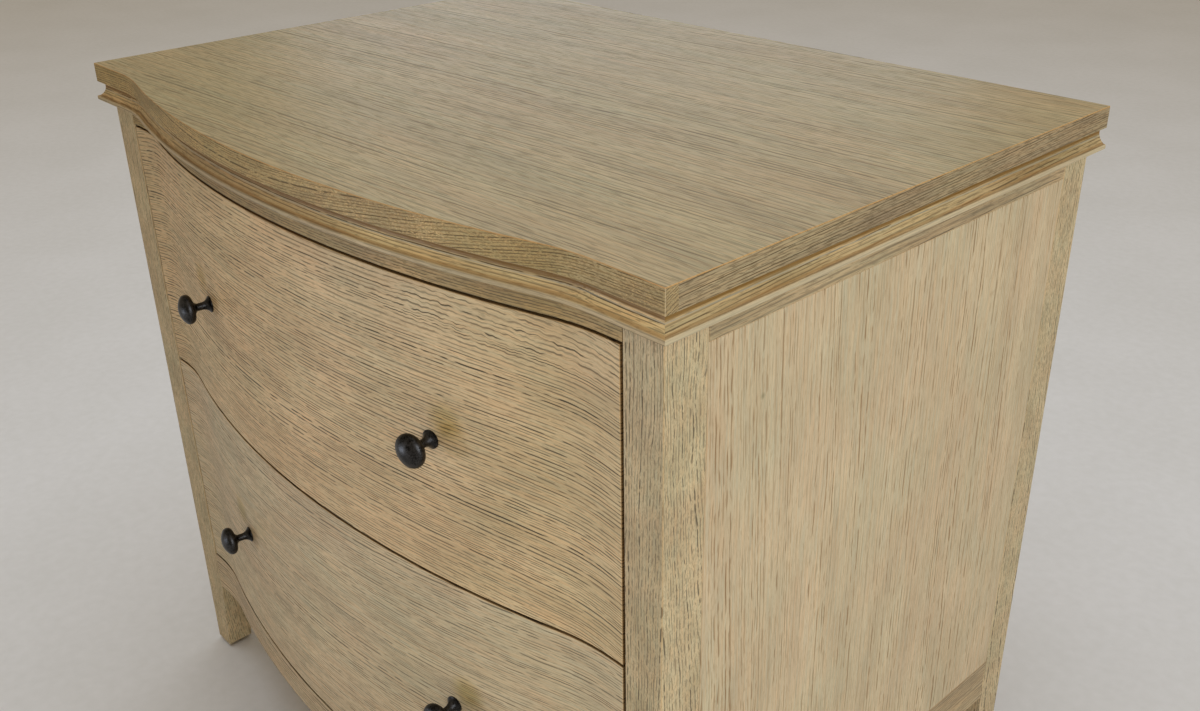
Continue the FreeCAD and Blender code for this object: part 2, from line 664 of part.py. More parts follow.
def nightstand():
    """All pieces by name."""
    pieces = {}
    for name, shape in side_frame().items():
        pieces[name + "_right"] = shape
    pieces.update(front_rails())
    pieces.update(back_frame())
    board = bottom_board()
    housed = ["side_bottom_rail_right", "front_apron", "back_bottom_rail"]
    for name in housed:
        pieces[name] = pieces[name].cut(board)
    pieces["bottom_board"] = board
    across = ["front_top_rail", "drawer_divider", "front_apron"]
    pieces["front_post_right"] = pieces["front_post_right"].cut([pieces[name] for name in across])
    behind = ["back_top_rail", "back_bottom_rail", "back_panel"]
    pieces["back_post_right"] = pieces["back_post_right"].cut([pieces[name] for name in behind])
    pieces["corner_blocks"] = corner_blocks(pieces)
    for name in [name for name in pieces if name.endswith("_right")]:
        pieces[name.replace("_right", "_left")] = mirrored(pieces[name])
    pieces["slide_cleats"] = slide_cleats()
    pieces.update(mouldings())
    pieces.update(top_boards())
    pieces["foot_glides"] = foot_glides()
    fixed = []
    gaps = {"upper": MIDDLE_GAP, "lower": LOWER_GAP}
    for name, level in slide_levels().items():
        members = slide_members(level)
        fixed += members[0].Solids
        pieces[name + "_slide_middle_members"] = members[1]
        for part, shape in drawer(gaps[name], level).items():
            pieces[name + "_drawer_" + part] = shape
    pieces["slide_case_members"] = Part.makeCompound(fixed)
    return pieces


def write(pieces):
    """Write one file per piece."""
    os.makedirs("parts", exist_ok=True)
    for name, shape in pieces.items():
        shape.exportStep("parts/" + name + ".step")
        print(name, len(shape.Solids), round(shape.Volume), shape.isValid())


write(nightstand())
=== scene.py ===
"""Bow-front oak nightstand: finishes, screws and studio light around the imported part."""

import logging
import math
from dataclasses import dataclass
from enum import Enum
from typing import Any

import bpy
from mathutils import Matrix, Vector

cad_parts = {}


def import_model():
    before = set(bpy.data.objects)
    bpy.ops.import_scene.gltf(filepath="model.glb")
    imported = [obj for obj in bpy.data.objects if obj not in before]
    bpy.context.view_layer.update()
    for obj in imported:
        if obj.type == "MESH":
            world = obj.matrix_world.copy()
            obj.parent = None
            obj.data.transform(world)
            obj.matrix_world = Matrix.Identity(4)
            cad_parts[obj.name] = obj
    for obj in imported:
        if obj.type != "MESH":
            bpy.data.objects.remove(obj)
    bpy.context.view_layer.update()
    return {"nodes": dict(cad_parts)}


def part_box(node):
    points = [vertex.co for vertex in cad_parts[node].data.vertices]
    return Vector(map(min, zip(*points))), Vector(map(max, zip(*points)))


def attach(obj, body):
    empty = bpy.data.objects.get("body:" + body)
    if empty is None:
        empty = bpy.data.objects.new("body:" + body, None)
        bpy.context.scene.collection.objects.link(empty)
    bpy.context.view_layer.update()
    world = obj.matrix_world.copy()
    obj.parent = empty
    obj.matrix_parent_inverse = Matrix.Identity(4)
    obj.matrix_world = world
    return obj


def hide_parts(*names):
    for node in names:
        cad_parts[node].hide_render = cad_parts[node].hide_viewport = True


MM = 0.001
# Plan radius of the bowed front, in mm
BOW_RADIUS = 1010.5
# Where a drawer front is darkened with a painted shadow of each knob, up and out from the knob, from the
# front's middle, in mm
KNOB_SHADOW_SPOT = (176.0, 19.0)
log = logging.getLogger("nightstand")

# Short names of the node types used most, and the setting that gives a Map Range node soft ends
MATH = "ShaderNodeMath"
VECTOR = "ShaderNodeVectorMath"
RANGE = "ShaderNodeMapRange"
MIX = "ShaderNodeMix"
SPLIT = "ShaderNodeSeparateXYZ"
COMBINE = "ShaderNodeCombineXYZ"
SOFT = {"interpolation_type": "SMOOTHSTEP"}
# Inputs of the oak figure that are fields of a board too
FIGURE_SHARES = ("ring", "even", "broken", "wander", "pores", "scatter", "flecks", "wear", "matt")
FIGURE_COLOURS = ("pale", "deep", "pore_colour", "arris")

Tree = bpy.types.NodeTree
Node = bpy.types.Node
Sockets = bpy.types.NodeOutputs
Source = Node | bpy.types.NodeSocket
Pair = tuple[float, float]
Triple = tuple[float, float, float]
Places = list[tuple[Vector, Vector]]


def linear(code: str) -> tuple[float, float, float, float]:
    """Turn an sRGB hex colour into a linear one.

    Args:
        code: Six hex digits with a leading hash sign.

    Returns:
        Linear red, green and blue with full alpha.
    """
    channels = [int(code[start:start + 2], 16) / 255 for start in (1, 3, 5)]
    red, green, blue = [c / 12.92 if c <= 0.04045 else ((c + 0.055) / 1.055) ** 2.4 for c in channels]
    return red, green, blue, 1.0


def add(tree: Tree, kind: str, inputs: dict[Any, Any] | None = None, **settings: Any) -> Node:
    """Add a node with its settings, input values and links.

    Args:
        tree: Node tree that gets the node.
        kind: Blender's type name of the node.
        inputs: For each named or numbered input, a value, a source socket, or a node whose first
            output is the source.
        settings: Properties of the node itself.

    Returns:
        The new node.
    """
    node = tree.nodes.new(kind)
    for name, value in settings.items():
        setattr(node, name, value)
    for key, value in (inputs or {}).items():
        if isinstance(value, Node):
            value = next(socket for socket in value.outputs if not socket.is_unavailable)
        if isinstance(value, bpy.types.NodeSocket):
            tree.links.new(value, node.inputs[key])
        else:
            node.inputs[key].default_value = value
    return node


def new_tree(name: str, kind: str, inputs: dict[str, str], outputs: dict[str, str]) -> Tree:
    """Make an empty node tree with named inputs and outputs.

    Args:
        name: Name of the tree.
        kind: Blender's type name of the tree.
        inputs: Kind of each input socket, by its name.
        outputs: Kind of each output socket, by its name.

    Returns:
        The new tree.
    """
    tree = bpy.data.node_groups.new(name, kind)
    for side, sockets in (("INPUT", inputs), ("OUTPUT", outputs)):
        for socket, sort in sockets.items():
            tree.interface.new_socket(socket, in_out=side, socket_type="NodeSocket" + sort)
    return tree


def cloud(tree: Tree, place: Source, lengths: Triple, detail: float, roughness: float = 0.5) -> Node:
    """Draw a cloud that is stretched to some lengths.

    Args:
        tree: Tree that gets the nodes.
        place: Place in the piece, in mm.
        lengths: Length of the cloud's features along each axis, in mm.
        detail: Layers of finer noise on top.
        roughness: Strength of the finer noise.

    Returns:
        The noise node.
    """
    spot = add(tree, VECTOR, {0: place, 1: lengths}, operation="DIVIDE")
    return add(tree, "ShaderNodeTexNoise", {"Vector": spot, "Scale": 1.0, "Detail": detail,
                                            "Roughness": roughness})


def new_object(name: str, data: bpy.types.ID) -> bpy.types.Object:
    """Make an object and put it in the scene.

    Args:
        name: Name of the object.
        data: Its mesh, light or camera.

    Returns:
        The new object.
    """
    thing = bpy.data.objects.new(name, data)
    bpy.context.scene.collection.objects.link(thing)
    return thing


def nearness(tree: Tree, place: Source, centre: Triple, reach: Triple, core: float, most: float) -> Node:
    """Say how near a point is to the middle of a soft spot.

    Args:
        tree: Tree that gets the nodes.
        place: Place of the point, in mm.
        centre: Middle of the spot, in mm.
        reach: Half length of the spot along each axis, in mm, or 0 for an axis that doesn't count.
        core: Share of the reach inside which the spot is whole.
        most: Value in the core, which falls softly to 0 at the rim.

    Returns:
        A node with the value.
    """
    off = add(tree, VECTOR, {0: place, 1: centre}, operation="SUBTRACT")
    scale = tuple(1 / length if length else 0.0 for length in reach)
    share = add(tree, VECTOR, {0: off, 1: scale}, operation="MULTIPLY")
    away = add(tree, VECTOR, {0: share}, operation="LENGTH").outputs["Value"]
    return add(tree, RANGE, Ramp(1.0, core, 0.0, most).over(away), **SOFT)


@dataclass(frozen=True)
class Ramp:
    """A stretch of values, from start to end, and what its two ends are turned into."""

    start: float
    end: float
    low: float = 0.0
    high: float = 1.0

    def over(self, value: Source) -> dict[str, Any]:
        """Inputs of a Map Range node that turns a value by this ramp."""
        return {"Value": value, "From Min": self.start, "From Max": self.end, "To Min": self.low,
                "To Max": self.high}


class Run(Enum):
    """How a board lies: the axes along its grain, across its face and through its depth."""

    LEVEL_FRONT = "XZY"
    BOWED_FRONT = "XZB"
    LEVEL_SIDE = "YZX"
    LEVEL_TOP = "XYZ"
    UPRIGHT_FRONT = "ZXY"
    UPRIGHT_SIDE = "ZYX"

    @property
    def face_axis(self) -> str:
        """Axis that the board's face looks along."""
        return "Y" if self.value[2] == "B" else self.value[2]

    def order(self, places: Any) -> dict[int, Source]:
        """Put places, given by axis, in their order along, across and through the board."""
        return {number: places[axis] for number, axis in enumerate(self.value)}


@dataclass(frozen=True)
class Canvas:
    """What a finish is drawn on.

    Place is counted from the middle of the piece and size is the piece's own, both in mm. Normal is
    the direction of the surface, without signs.
    """

    tree: Tree
    place: Node
    normal: Node
    size: Vector


@dataclass(frozen=True)
class Finish:
    """A named surface. Each kind of finish draws its own nodes."""

    name: str

    def material(self, low: Vector, high: Vector) -> bpy.types.Material:
        """Make the material for one piece.

        Args:
            low: Lowest corner of the piece, in metres.
            high: Highest corner of the piece, in metres.

        Returns:
            The new material, whose pattern is laid out from the middle of the piece.
        """
        material = bpy.data.materials.new(self.name)
        material.use_nodes = True
        tree = material.node_tree
        tree.nodes.clear()
        where = add(tree, "ShaderNodeTexCoord").outputs
        middle = add(tree, VECTOR, {0: where["Object"], 1: (low + high) / 2}, operation="SUBTRACT")
        place = add(tree, VECTOR, {0: middle, "Scale": 1 / MM}, operation="SCALE")
        normal = add(tree, VECTOR, {0: where["Normal"]}, operation="ABSOLUTE")
        look = self.draw(Canvas(tree, place, normal, (high - low) / MM))
        shader = add(tree, "ShaderNodeBsdfPrincipled", look)
        add(tree, "ShaderNodeOutputMaterial", {"Surface": shader})
        return material

    def draw(self, canvas: Canvas) -> dict[str, Any]:
        """Draw the surface.

        Args:
            canvas: What it is drawn on.

        Returns:
            What goes into the shader's inputs.
        """
        raise NotImplementedError


@dataclass(frozen=True)
class OakFigure:
    """What oak shows, with lengths along the grain, across it and through the board, in mm.

    Cool, warm, olive and pink are casts, as factors of red, green and blue.
    """

    slow_drift: Triple = (420.0, 80.0, 80.0)
    quick_drift: Triple = (38.0, 9.0, 9.0)
    drift_shares: Pair = (2.2, 0.4)
    drift_through: float = 0.2
    year_scale: float = 0.16
    year_swing: float = 3.0
    early_rise: Ramp = Ramp(0.0, 0.08)
    early_fall: Ramp = Ramp(0.25, 0.48, 1.0, 0.0)
    early_shade: float = 0.15
    vessel: Triple = (22.0, 1.7, 1.7)
    taper: float = 0.12
    pore: Triple = (9.0, 0.6, 0.6)
    pore_ramp: Ramp = Ramp(0.6, 0.68)
    crowding: float = 0.12
    dry_pore: float = 0.25
    fibre: Triple = (40.0, 0.8, 0.8)
    fibre_lift: Ramp = Ramp(0.2, 0.8, 0.82, 1.18)
    fibre_stand: float = 0.25
    tone: Triple = (150.0, 26.0, 26.0)
    tone_ramp: Ramp = Ramp(0.3, 0.7)
    streak: Triple = (50.0, 1.8, 1.8)
    patch: Triple = (130.0, 60.0, 60.0)
    cast_ramp: Ramp = Ramp(0.35, 0.65)
    cool: Triple = (0.96, 1.01, 1.03)
    warm: Triple = (1.05, 0.99, 0.93)
    olive: Triple = (0.98, 1.003, 1.0)
    pink: Triple = (1.03, 0.995, 0.985)
    ray: Triple = (5.0, 1.6, 30.0)
    ray_ramp: Ramp = Ramp(0.54, 0.62)
    arris_ramp: Ramp = Ramp(0.955, 0.88)
    face_ramp: Ramp = Ramp(0.35, 0.75)
    noise: float = 0.55
    name: str = "oak_figure"

    def group(self) -> Tree:
        """Build the node group that draws the figure, or find it.

        Returns:
            A group with the place in a board, in mm, going in, and colour, roughness and relief coming out.
        """
        if self.name in bpy.data.node_groups:
            return bpy.data.node_groups[self.name]
        inputs = dict.fromkeys(("place", "normal", "shift", "pith", "lean", "grain", "edge"), "Vector")
        inputs |= dict.fromkeys(("facing", *FIGURE_SHARES), "Float") | dict.fromkeys(FIGURE_COLOURS, "Color")
        outputs = {"colour": "Color", "roughness": "Float", "relief": "Float"}
        tree = new_tree(self.name, "ShaderNodeTree", inputs, outputs)
        given = add(tree, "NodeGroupInput").outputs
        drifted = self.drift(tree, given)
        seeded = add(tree, VECTOR, {0: drifted, 1: given["shift"]}, operation="ADD")
        sown = add(tree, VECTOR, {0: seeded, 1: given["grain"]}, operation="MULTIPLY")
        early, pores = self.rings(tree, given, drifted, sown)
        wood = self.wood(tree, given, sown, early)
        fibres = cloud(tree, sown, self.fibre, 2.0, self.noise)
        lift = add(tree, RANGE, self.fibre_lift.over(fibres))
        streaked = add(tree, VECTOR, {0: wood, "Scale": lift}, operation="SCALE")
        pored = add(tree, MIX, {"Factor": pores, "A": streaked, "B": given["pore_colour"]}, data_type="RGBA")

        # Off the face, a board's edges take the edge tint: on the drawer fronts, the front top rail and the
        # apron it is painted shade that darkens the gaps between them, elsewhere the edge's own colour; the
        # arrises are rubbed bare
        sides = add(tree, SPLIT, {0: given["normal"]}).outputs
        widest = add(tree, MATH, {0: sides["X"], 1: sides["Y"]}, operation="MAXIMUM")
        widest = add(tree, MATH, {0: widest, 1: sides["Z"]}, operation="MAXIMUM")
        corner = add(tree, RANGE, self.arris_ramp.over(widest), **SOFT)
        worn = add(tree, MATH, {0: corner, 1: given["wear"]}, operation="MULTIPLY")
        rubbed = add(tree, MIX, {"Factor": worn, "A": pored, "B": given["arris"]}, data_type="RGBA")
        face = add(tree, RANGE, self.face_ramp.over(given["facing"]))
        edge_tint_and_gap_shade = add(tree, MIX, {"Factor": face, "A": given["edge"], "B": (1.0, 1.0, 1.0)}, data_type="VECTOR")
        colour = add(tree, VECTOR, {0: rubbed, 1: edge_tint_and_gap_shade}, operation="MULTIPLY")

        # Lacquer, drier in the pores; the pores are sunk and the fibres stand a little
        roughness = add(tree, MATH, {0: pores, 1: self.dry_pore, 2: given["matt"]}, operation="MULTIPLY_ADD")
        stand = add(tree, MATH, {0: fibres, 1: self.fibre_stand}, operation="MULTIPLY")
        relief = add(tree, MATH, {0: stand, 1: pores}, operation="SUBTRACT")
        add(tree, "NodeGroupOutput", {"colour": colour, "roughness": roughness, "relief": relief})
        return tree

    def drift(self, tree: Tree, given: Sockets) -> Source:
        """Let the grain wander off the straight, slowly over the board and quickly over a hand's width.

        Args:
            tree: Tree that gets the nodes.
            given: Inputs of the group.

        Returns:
            The place in the board as the grain sees it.
        """
        seeded = add(tree, VECTOR, {0: given["place"], 1: given["shift"]}, operation="ADD")
        drifted: Source = given["place"]
        for lengths, share in zip((self.slow_drift, self.quick_drift), self.drift_shares):
            colour = cloud(tree, seeded, lengths, 1.0, self.noise).outputs["Color"]
            centred = add(tree, VECTOR, {0: colour, 1: (0.5, 0.5, 0.5)}, operation="SUBTRACT")
            shares = (0.0, share, self.drift_through * share)
            across = add(tree, VECTOR, {0: centred, 1: shares}, operation="MULTIPLY")
            moved = add(tree, VECTOR, {0: across, "Scale": given["wander"]}, operation="SCALE")
            drifted = add(tree, VECTOR, {0: drifted, 1: moved}, operation="ADD")
        return drifted

    def rings(self, tree: Tree, given: Sockets, drifted: Source, sown: Node) -> tuple[Node, Node]:
        """Lay yearly rings round a pith that leans along the board, and open their pores.

        Args:
            tree: Tree that gets the nodes.
            given: Inputs of the group.
            drifted: Place in the board as the grain sees it.
            sown: Place that the clouds are drawn at.

        Returns:
            How much a point is early wood, and how much it is a pore.
        """
        along = add(tree, SPLIT, {0: given["place"]}).outputs["X"]
        leant = add(tree, VECTOR, {0: given["lean"], "Scale": along}, operation="SCALE")
        pith = add(tree, VECTOR, {0: given["pith"], 1: leant}, operation="ADD")
        out = add(tree, VECTOR, {0: drifted, 1: pith}, operation="SUBTRACT")
        flat = add(tree, VECTOR, {0: out, 1: (0.0, 1.0, 1.0)}, operation="MULTIPLY")
        radius = add(tree, VECTOR, {0: flat}, operation="LENGTH").outputs["Value"]
        count = add(tree, MATH, {0: radius, 1: given["ring"]}, operation="DIVIDE")
        years = add(tree, "ShaderNodeTexNoise", {"W": count, "Scale": self.year_scale, "Detail": 1.0},
                    noise_dimensions="1D")
        uneven = add(tree, MATH, {0: years, 1: self.year_swing, 2: count}, operation="MULTIPLY_ADD")
        part = add(tree, MATH, {0: uneven}, operation="FRACT")
        year = add(tree, MATH, {0: uneven}, operation="FLOOR")
        strength = add(tree, "ShaderNodeTexWhiteNoise", {"W": year}, noise_dimensions="1D")
        rise = add(tree, RANGE, self.early_rise.over(part), **SOFT)
        fall = add(tree, RANGE, self.early_fall.over(part), **SOFT)
        early = add(tree, MATH, {0: rise, 1: fall}, operation="MULTIPLY")

        # Broken dark lines in the early wood of each ring, with small pores scattered between
        vessels = cloud(tree, sown, self.vessel, 1.0, self.noise)
        ends = add(tree, MATH, {0: given["broken"], 1: self.taper}, operation="ADD")
        line = add(tree, RANGE, {"Value": vessels, "From Min": given["broken"], "From Max": ends}, **SOFT)
        dark = add(tree, RANGE, {"Value": strength, "To Min": given["even"], "To Max": 1.0})
        for factor in (early, dark, given["pores"]):
            line = add(tree, MATH, {0: line, 1: factor}, operation="MULTIPLY")
        small = cloud(tree, sown, self.pore, 1.0, self.noise)
        crowd = add(tree, MATH, {0: given["scatter"], 1: self.crowding, 2: small}, operation="MULTIPLY_ADD")
        dots = add(tree, RANGE, self.pore_ramp.over(crowd), **SOFT)
        dots = add(tree, MATH, {0: dots, 1: given["scatter"]}, operation="MULTIPLY")
        return early, add(tree, MATH, {0: line, 1: dots}, operation="MAXIMUM", use_clamp=True)

    def wood(self, tree: Tree, given: Sockets, sown: Node, early: Node) -> Node:
        """Colour the wood between the pores: clouds of tone, darker early wood, streaks and patches.

        Args:
            tree: Tree that gets the nodes.
            given: Inputs of the group.
            sown: Place that the clouds are drawn at.
            early: How much a point is early wood.

        Returns:
            A node with the colour.
        """
        tone = add(tree, RANGE, self.tone_ramp.over(cloud(tree, sown, self.tone, 3.0, self.noise)))
        shade = add(tree, MATH, {0: early, 1: self.early_shade, 2: tone}, operation="MULTIPLY_ADD",
                    use_clamp=True)
        wood = add(tree, MIX, {"Factor": shade, "A": given["pale"], "B": given["deep"]}, data_type="RGBA")
        warm, pink = [add(tree, RANGE, self.cast_ramp.over(cloud(tree, sown, lengths, detail, self.noise)))
                      for lengths, detail in ((self.streak, 2.0), (self.patch, 1.0))]
        for share, start, end in ((warm, self.cool, self.warm), (pink, self.olive, self.pink)):
            cast = add(tree, MIX, {"Factor": share, "A": start, "B": end}, data_type="VECTOR")
            wood = add(tree, VECTOR, {0: wood, 1: cast}, operation="MULTIPLY")

        # Ray flecks shine where the wood is pink
        fleck = add(tree, RANGE, self.ray_ramp.over(cloud(tree, sown, self.ray, 1.0, self.noise)), **SOFT)
        shine = add(tree, MATH, {0: fleck, 1: pink}, operation="MULTIPLY")
        shine = add(tree, MATH, {0: shine, 1: given["flecks"], 2: 1.0}, operation="MULTIPLY_ADD")
        return add(tree, VECTOR, {0: wood, "Scale": shine}, operation="SCALE")


@dataclass(frozen=True)
class OakBoard(Finish):
    """Toasted, greyed oak, brushed and lacquered matt: tan wood with rows of dark open pores.

    The pith is given from the middle of the board, across and through it, in mm; on a bowed front
    the second number counts back from the face. The lean is how far the pith moves per mm of length.
    Even is the strength of the weakest year, and broken how much of the pores' lines is missing.
    Stretch and spread lengthen and widen the pores, and flecks is how much the rays shine. The crown
    is how far the grain falls at the ends, in mm. A knot, a ripple in the grain and the painted shadow
    of each knob, a warm darker patch beside it, are given by their places from the middle of the board, in
    mm.
    """

    run: Run
    pith: Pair
    lean: Pair = (0.0, 0.0)
    ring: float = 3.2
    even: float = 0.5
    broken: float = 0.36
    wander: float = 3.0
    pores: float = 0.85
    scatter: float = 0.4
    flecks: float = 0.0
    stretch: float = 1.0
    spread: float = 1.0
    crown: float = 0.0
    crown_start: float = 0.2
    crown_power: float = 3.0
    wear: float = 0.5
    edge: Triple = (1.0, 1.0, 1.0)
    matt: float = 0.5
    gloss: float = 0.4
    relief: float = 0.15
    relief_strength: float = 0.5
    shift: float = 0.0
    shift_steps: Triple = (7.0, 3.0, 1.0)
    pale: str = "#c9ad85"
    deep: str = "#b09670"
    pore_colour: str = "#5f543e"
    arris: str = "#c9a06a"
    knot: Pair | None = None
    knot_reach: Triple = (3.5, 2.8, 0.0)
    knot_strength: float = 0.8
    knot_colour: str = "#887d5a"
    ripple: Pair | None = None
    ripple_reach: Triple = (150.0, 0.0, 26.0)
    ripple_core: float = 0.4
    ripple_swing: float = 3.4
    ripple_lengths: Triple = (6.5, 40.0, 9.0)
    knob_shadow: Pair | None = None
    knob_shadow_reach: Triple = (21.0, 10.0, 20.0)
    knob_shadow_core: float = 0.2
    knob_shadow_tint: Triple = (0.83, 0.8, 0.57)

    def draw(self, canvas: Canvas) -> dict[str, Any]:
        """Draw the board's figure.

        Args:
            canvas: What it is drawn on.

        Returns:
            What goes into the shader's inputs.
        """
        tree = canvas.tree
        axes = add(tree, SPLIT, {0: canvas.place}).outputs
        places = self.places(canvas, axes)
        turned = add(tree, COMBINE, self.run.order(places))
        sides = add(tree, SPLIT, {0: canvas.normal}).outputs
        figure = {"place": turned, "normal": canvas.normal, "facing": sides[self.run.face_axis],
                  "shift": tuple(self.shift * step for step in self.shift_steps), "edge": self.edge,
                  "pith": (0.0, *self.pith), "lean": (0.0, *self.lean),
                  "grain": (1 / self.stretch, 1 / self.spread, 1 / self.spread)}
        figure |= {name: getattr(self, name) for name in FIGURE_SHARES}
        figure |= {name: linear(getattr(self, name)) for name in FIGURE_COLOURS}
        drawn = add(tree, "ShaderNodeGroup", figure, node_tree=OakFigure().group())
        bump = add(tree, "ShaderNodeBump", {"Height": drawn.outputs["relief"], "Distance": self.relief * MM,
                                            "Strength": self.relief_strength})
        colour = self.tint(tree, turned, drawn.outputs["colour"])
        # Painted shadow of each knob: a warm darker patch up and out beside it
        if self.knob_shadow:
            x, z = self.knob_shadow
            side = add(tree, MATH, {0: axes["X"]}, operation="ABSOLUTE")
            spot = add(tree, COMBINE, {0: side, 1: places["B"], 2: axes["Z"]})
            amount = nearness(tree, spot, (x, 0.0, z), self.knob_shadow_reach, self.knob_shadow_core, 1.0)
            knob_shadow_factor = add(tree, MIX, {"Factor": amount, "A": (1.0, 1.0, 1.0), "B": self.knob_shadow_tint},
                        data_type="VECTOR")
            colour = add(tree, VECTOR, {0: colour, 1: knob_shadow_factor}, operation="MULTIPLY")
        return {"Base Color": colour, "Roughness": drawn.outputs["roughness"], "Normal": bump,
                "Specular IOR Level": self.gloss}

    def places(self, canvas: Canvas, axes: Sockets) -> dict[str, Source]:
        """Work out where the figure is drawn: behind the bow, falling at the ends, rippled in one patch.

        Args:
            canvas: What the board is drawn on.
            axes: Place from the middle of the piece, by axis.

        Returns:
            Place along each axis, in mm, and as B the distance behind a bowed face.
        """
        tree, place, size = canvas.tree, canvas.place, canvas.size
        places: dict[str, Source] = {axis: axes[axis] for axis in "XYZ"}
        if self.run is Run.BOWED_FRONT:
            square = add(tree, MATH, {0: axes["X"], 1: axes["X"]}, operation="MULTIPLY")
            behind = add(tree, MATH, {0: axes["Y"], 1: size.y / 2}, operation="ADD")
            sag = add(tree, MATH, {0: square, 1: -0.5 / BOW_RADIUS, 2: behind}, operation="MULTIPLY_ADD")
            places["B"] = add(tree, MATH, {0: sag, 1: 0.0}, operation="MAXIMUM")
        if self.crown:
            side = add(tree, MATH, {0: axes["X"]}, operation="ABSOLUTE")
            share = add(tree, RANGE, Ramp(size.x * self.crown_start, size.x / 2).over(side))
            fall = add(tree, MATH, {0: share, 1: self.crown_power}, operation="POWER")
            places["Z"] = add(tree, MATH, {0: fall, 1: self.crown, 2: axes["Z"]}, operation="MULTIPLY_ADD")
        if self.ripple:
            x, z = self.ripple
            swing = nearness(tree, place, (x, 0.0, z), self.ripple_reach, self.ripple_core, self.ripple_swing)
            wave = cloud(tree, place, self.ripple_lengths, 1.0)
            centred = add(tree, MATH, {0: wave, 1: 0.5}, operation="SUBTRACT")
            places["Z"] = add(tree, MATH, {0: centred, 1: swing, 2: places["Z"]}, operation="MULTIPLY_ADD")
        return places

    def tint(self, tree: Tree, turned: Node, colour: Source) -> Source:
        """Add what lies on the figure: here the pin knot, if the board has one.

        Args:
            tree: The material's node tree.
            turned: Place along, across and through the board.
            colour: Colour of the figure.

        Returns:
            The new colour.
        """
        if self.knot is None:
            return colour
        amount = nearness(tree, turned, (*self.knot, 0.0), self.knot_reach, 0.0, self.knot_strength)
        return add(tree, MIX, {"Factor": amount, "A": colour, "B": linear(self.knot_colour)},
                   data_type="RGBA")


@dataclass(frozen=True)
class Band:
    """A band of colour along a moulding: height above the bottom and half width, in mm, and strength."""

    level: float
    half: float
    strength: float
    colour: str


@dataclass(frozen=True)
class MouldedOak(OakBoard):
    """Oak run through a cutter, with painted shade in the quirk under the slab, an orange line under the
    cove, a painted sheen on the lip and a painted highlight along the fillet.
    """

    height: float = 17.1
    # Bands from the bottom up: painted sheen on the lip, an orange line, a painted highlight on the fillet,
    # painted shade in the quirk
    lip_sheen: Band = Band(1.4, 3.2, 0.55, "#a8987a")
    rub: Band = Band(4.5, 0.7, 0.45, "#9a6d33")
    fillet_highlight: Band = Band(9.9, 0.6, 0.45, "#a3a08f")
    quirk_shade: Band = Band(14.6, 4.0, 0.85, "#7d560c")
    band_core: float = 0.6

    def tint(self, tree: Tree, turned: Node, colour: Source) -> Source:
        """Add the bands of the moulding.

        Args:
            tree: The material's node tree.
            turned: Place along, across and through the board.
            colour: Colour of the figure.

        Returns:
            The new colour.
        """
        for band in (self.lip_sheen, self.rub, self.fillet_highlight, self.quirk_shade):
            centre = (0.0, band.level - self.height / 2, 0.0)
            amount = nearness(tree, turned, centre, (0.0, band.half, 0.0), self.band_core, band.strength)
            colour = add(tree, MIX, {"Factor": amount, "A": colour, "B": linear(band.colour)},
                         data_type="RGBA")
        return colour


@dataclass(frozen=True)
class PlanedTimber(Finish):
    """Planed, clear-lacquered timber: even pale wood with soft streaks and short flecks."""

    run: Run
    pale: str
    deep: str
    fleck_colour: str
    streak: Triple = (170.0, 7.0, 7.0)
    streak_ramp: Ramp = Ramp(0.3, 0.7)
    fleck: Triple = (5.0, 0.6, 0.6)
    fleck_ramp: Ramp = Ramp(0.6, 0.75, 0.0, 0.5)
    fibre: Triple = (30.0, 0.7, 0.7)
    fibre_lift: Ramp = Ramp(0.0, 1.0, 0.88, 1.12)
    roughness: Ramp = Ramp(0.0, 1.0, 0.4, 0.58)
    relief: float = 0.08
    relief_strength: float = 0.3
    shift: float = 0.0

    def sown(self, canvas: Canvas) -> Node:
        """Find the place in the board, moved on so that no two boards are alike.

        Args:
            canvas: What the board is drawn on.

        Returns:
            A node with the place along, across and through the board.
        """
        axes = add(canvas.tree, SPLIT, {0: canvas.place}).outputs
        turned = add(canvas.tree, COMBINE, self.run.order(axes))
        return add(canvas.tree, VECTOR, {0: turned, 1: (self.shift,) * 3}, operation="ADD")

    def draw(self, canvas: Canvas) -> dict[str, Any]:
        """Draw the timber.

        Args:
            canvas: What it is drawn on.

        Returns:
            What goes into the shader's inputs.
        """
        tree = canvas.tree
        sown = self.sown(canvas)
        streaks, flecks, fibres = [cloud(tree, sown, lengths, 2.0)
                                   for lengths in (self.streak, self.fleck, self.fibre)]
        tone = add(tree, RANGE, self.streak_ramp.over(streaks))
        wood = add(tree, MIX, {"Factor": tone, "A": linear(self.pale), "B": linear(self.deep)},
                   data_type="RGBA")
        fleck = add(tree, RANGE, self.fleck_ramp.over(flecks))
        flecked = add(tree, MIX, {"Factor": fleck, "A": wood, "B": linear(self.fleck_colour)},
                      data_type="RGBA")
        lift = add(tree, RANGE, self.fibre_lift.over(fibres))
        colour = add(tree, VECTOR, {0: flecked, "Scale": lift}, operation="SCALE")
        roughness = add(tree, RANGE, self.roughness.over(fibres))
        bump = add(tree, "ShaderNodeBump", {"Height": fibres, "Distance": self.relief * MM,
                                            "Strength": self.relief_strength})
        return {"Base Color": colour, "Roughness": roughness, "Normal": bump}


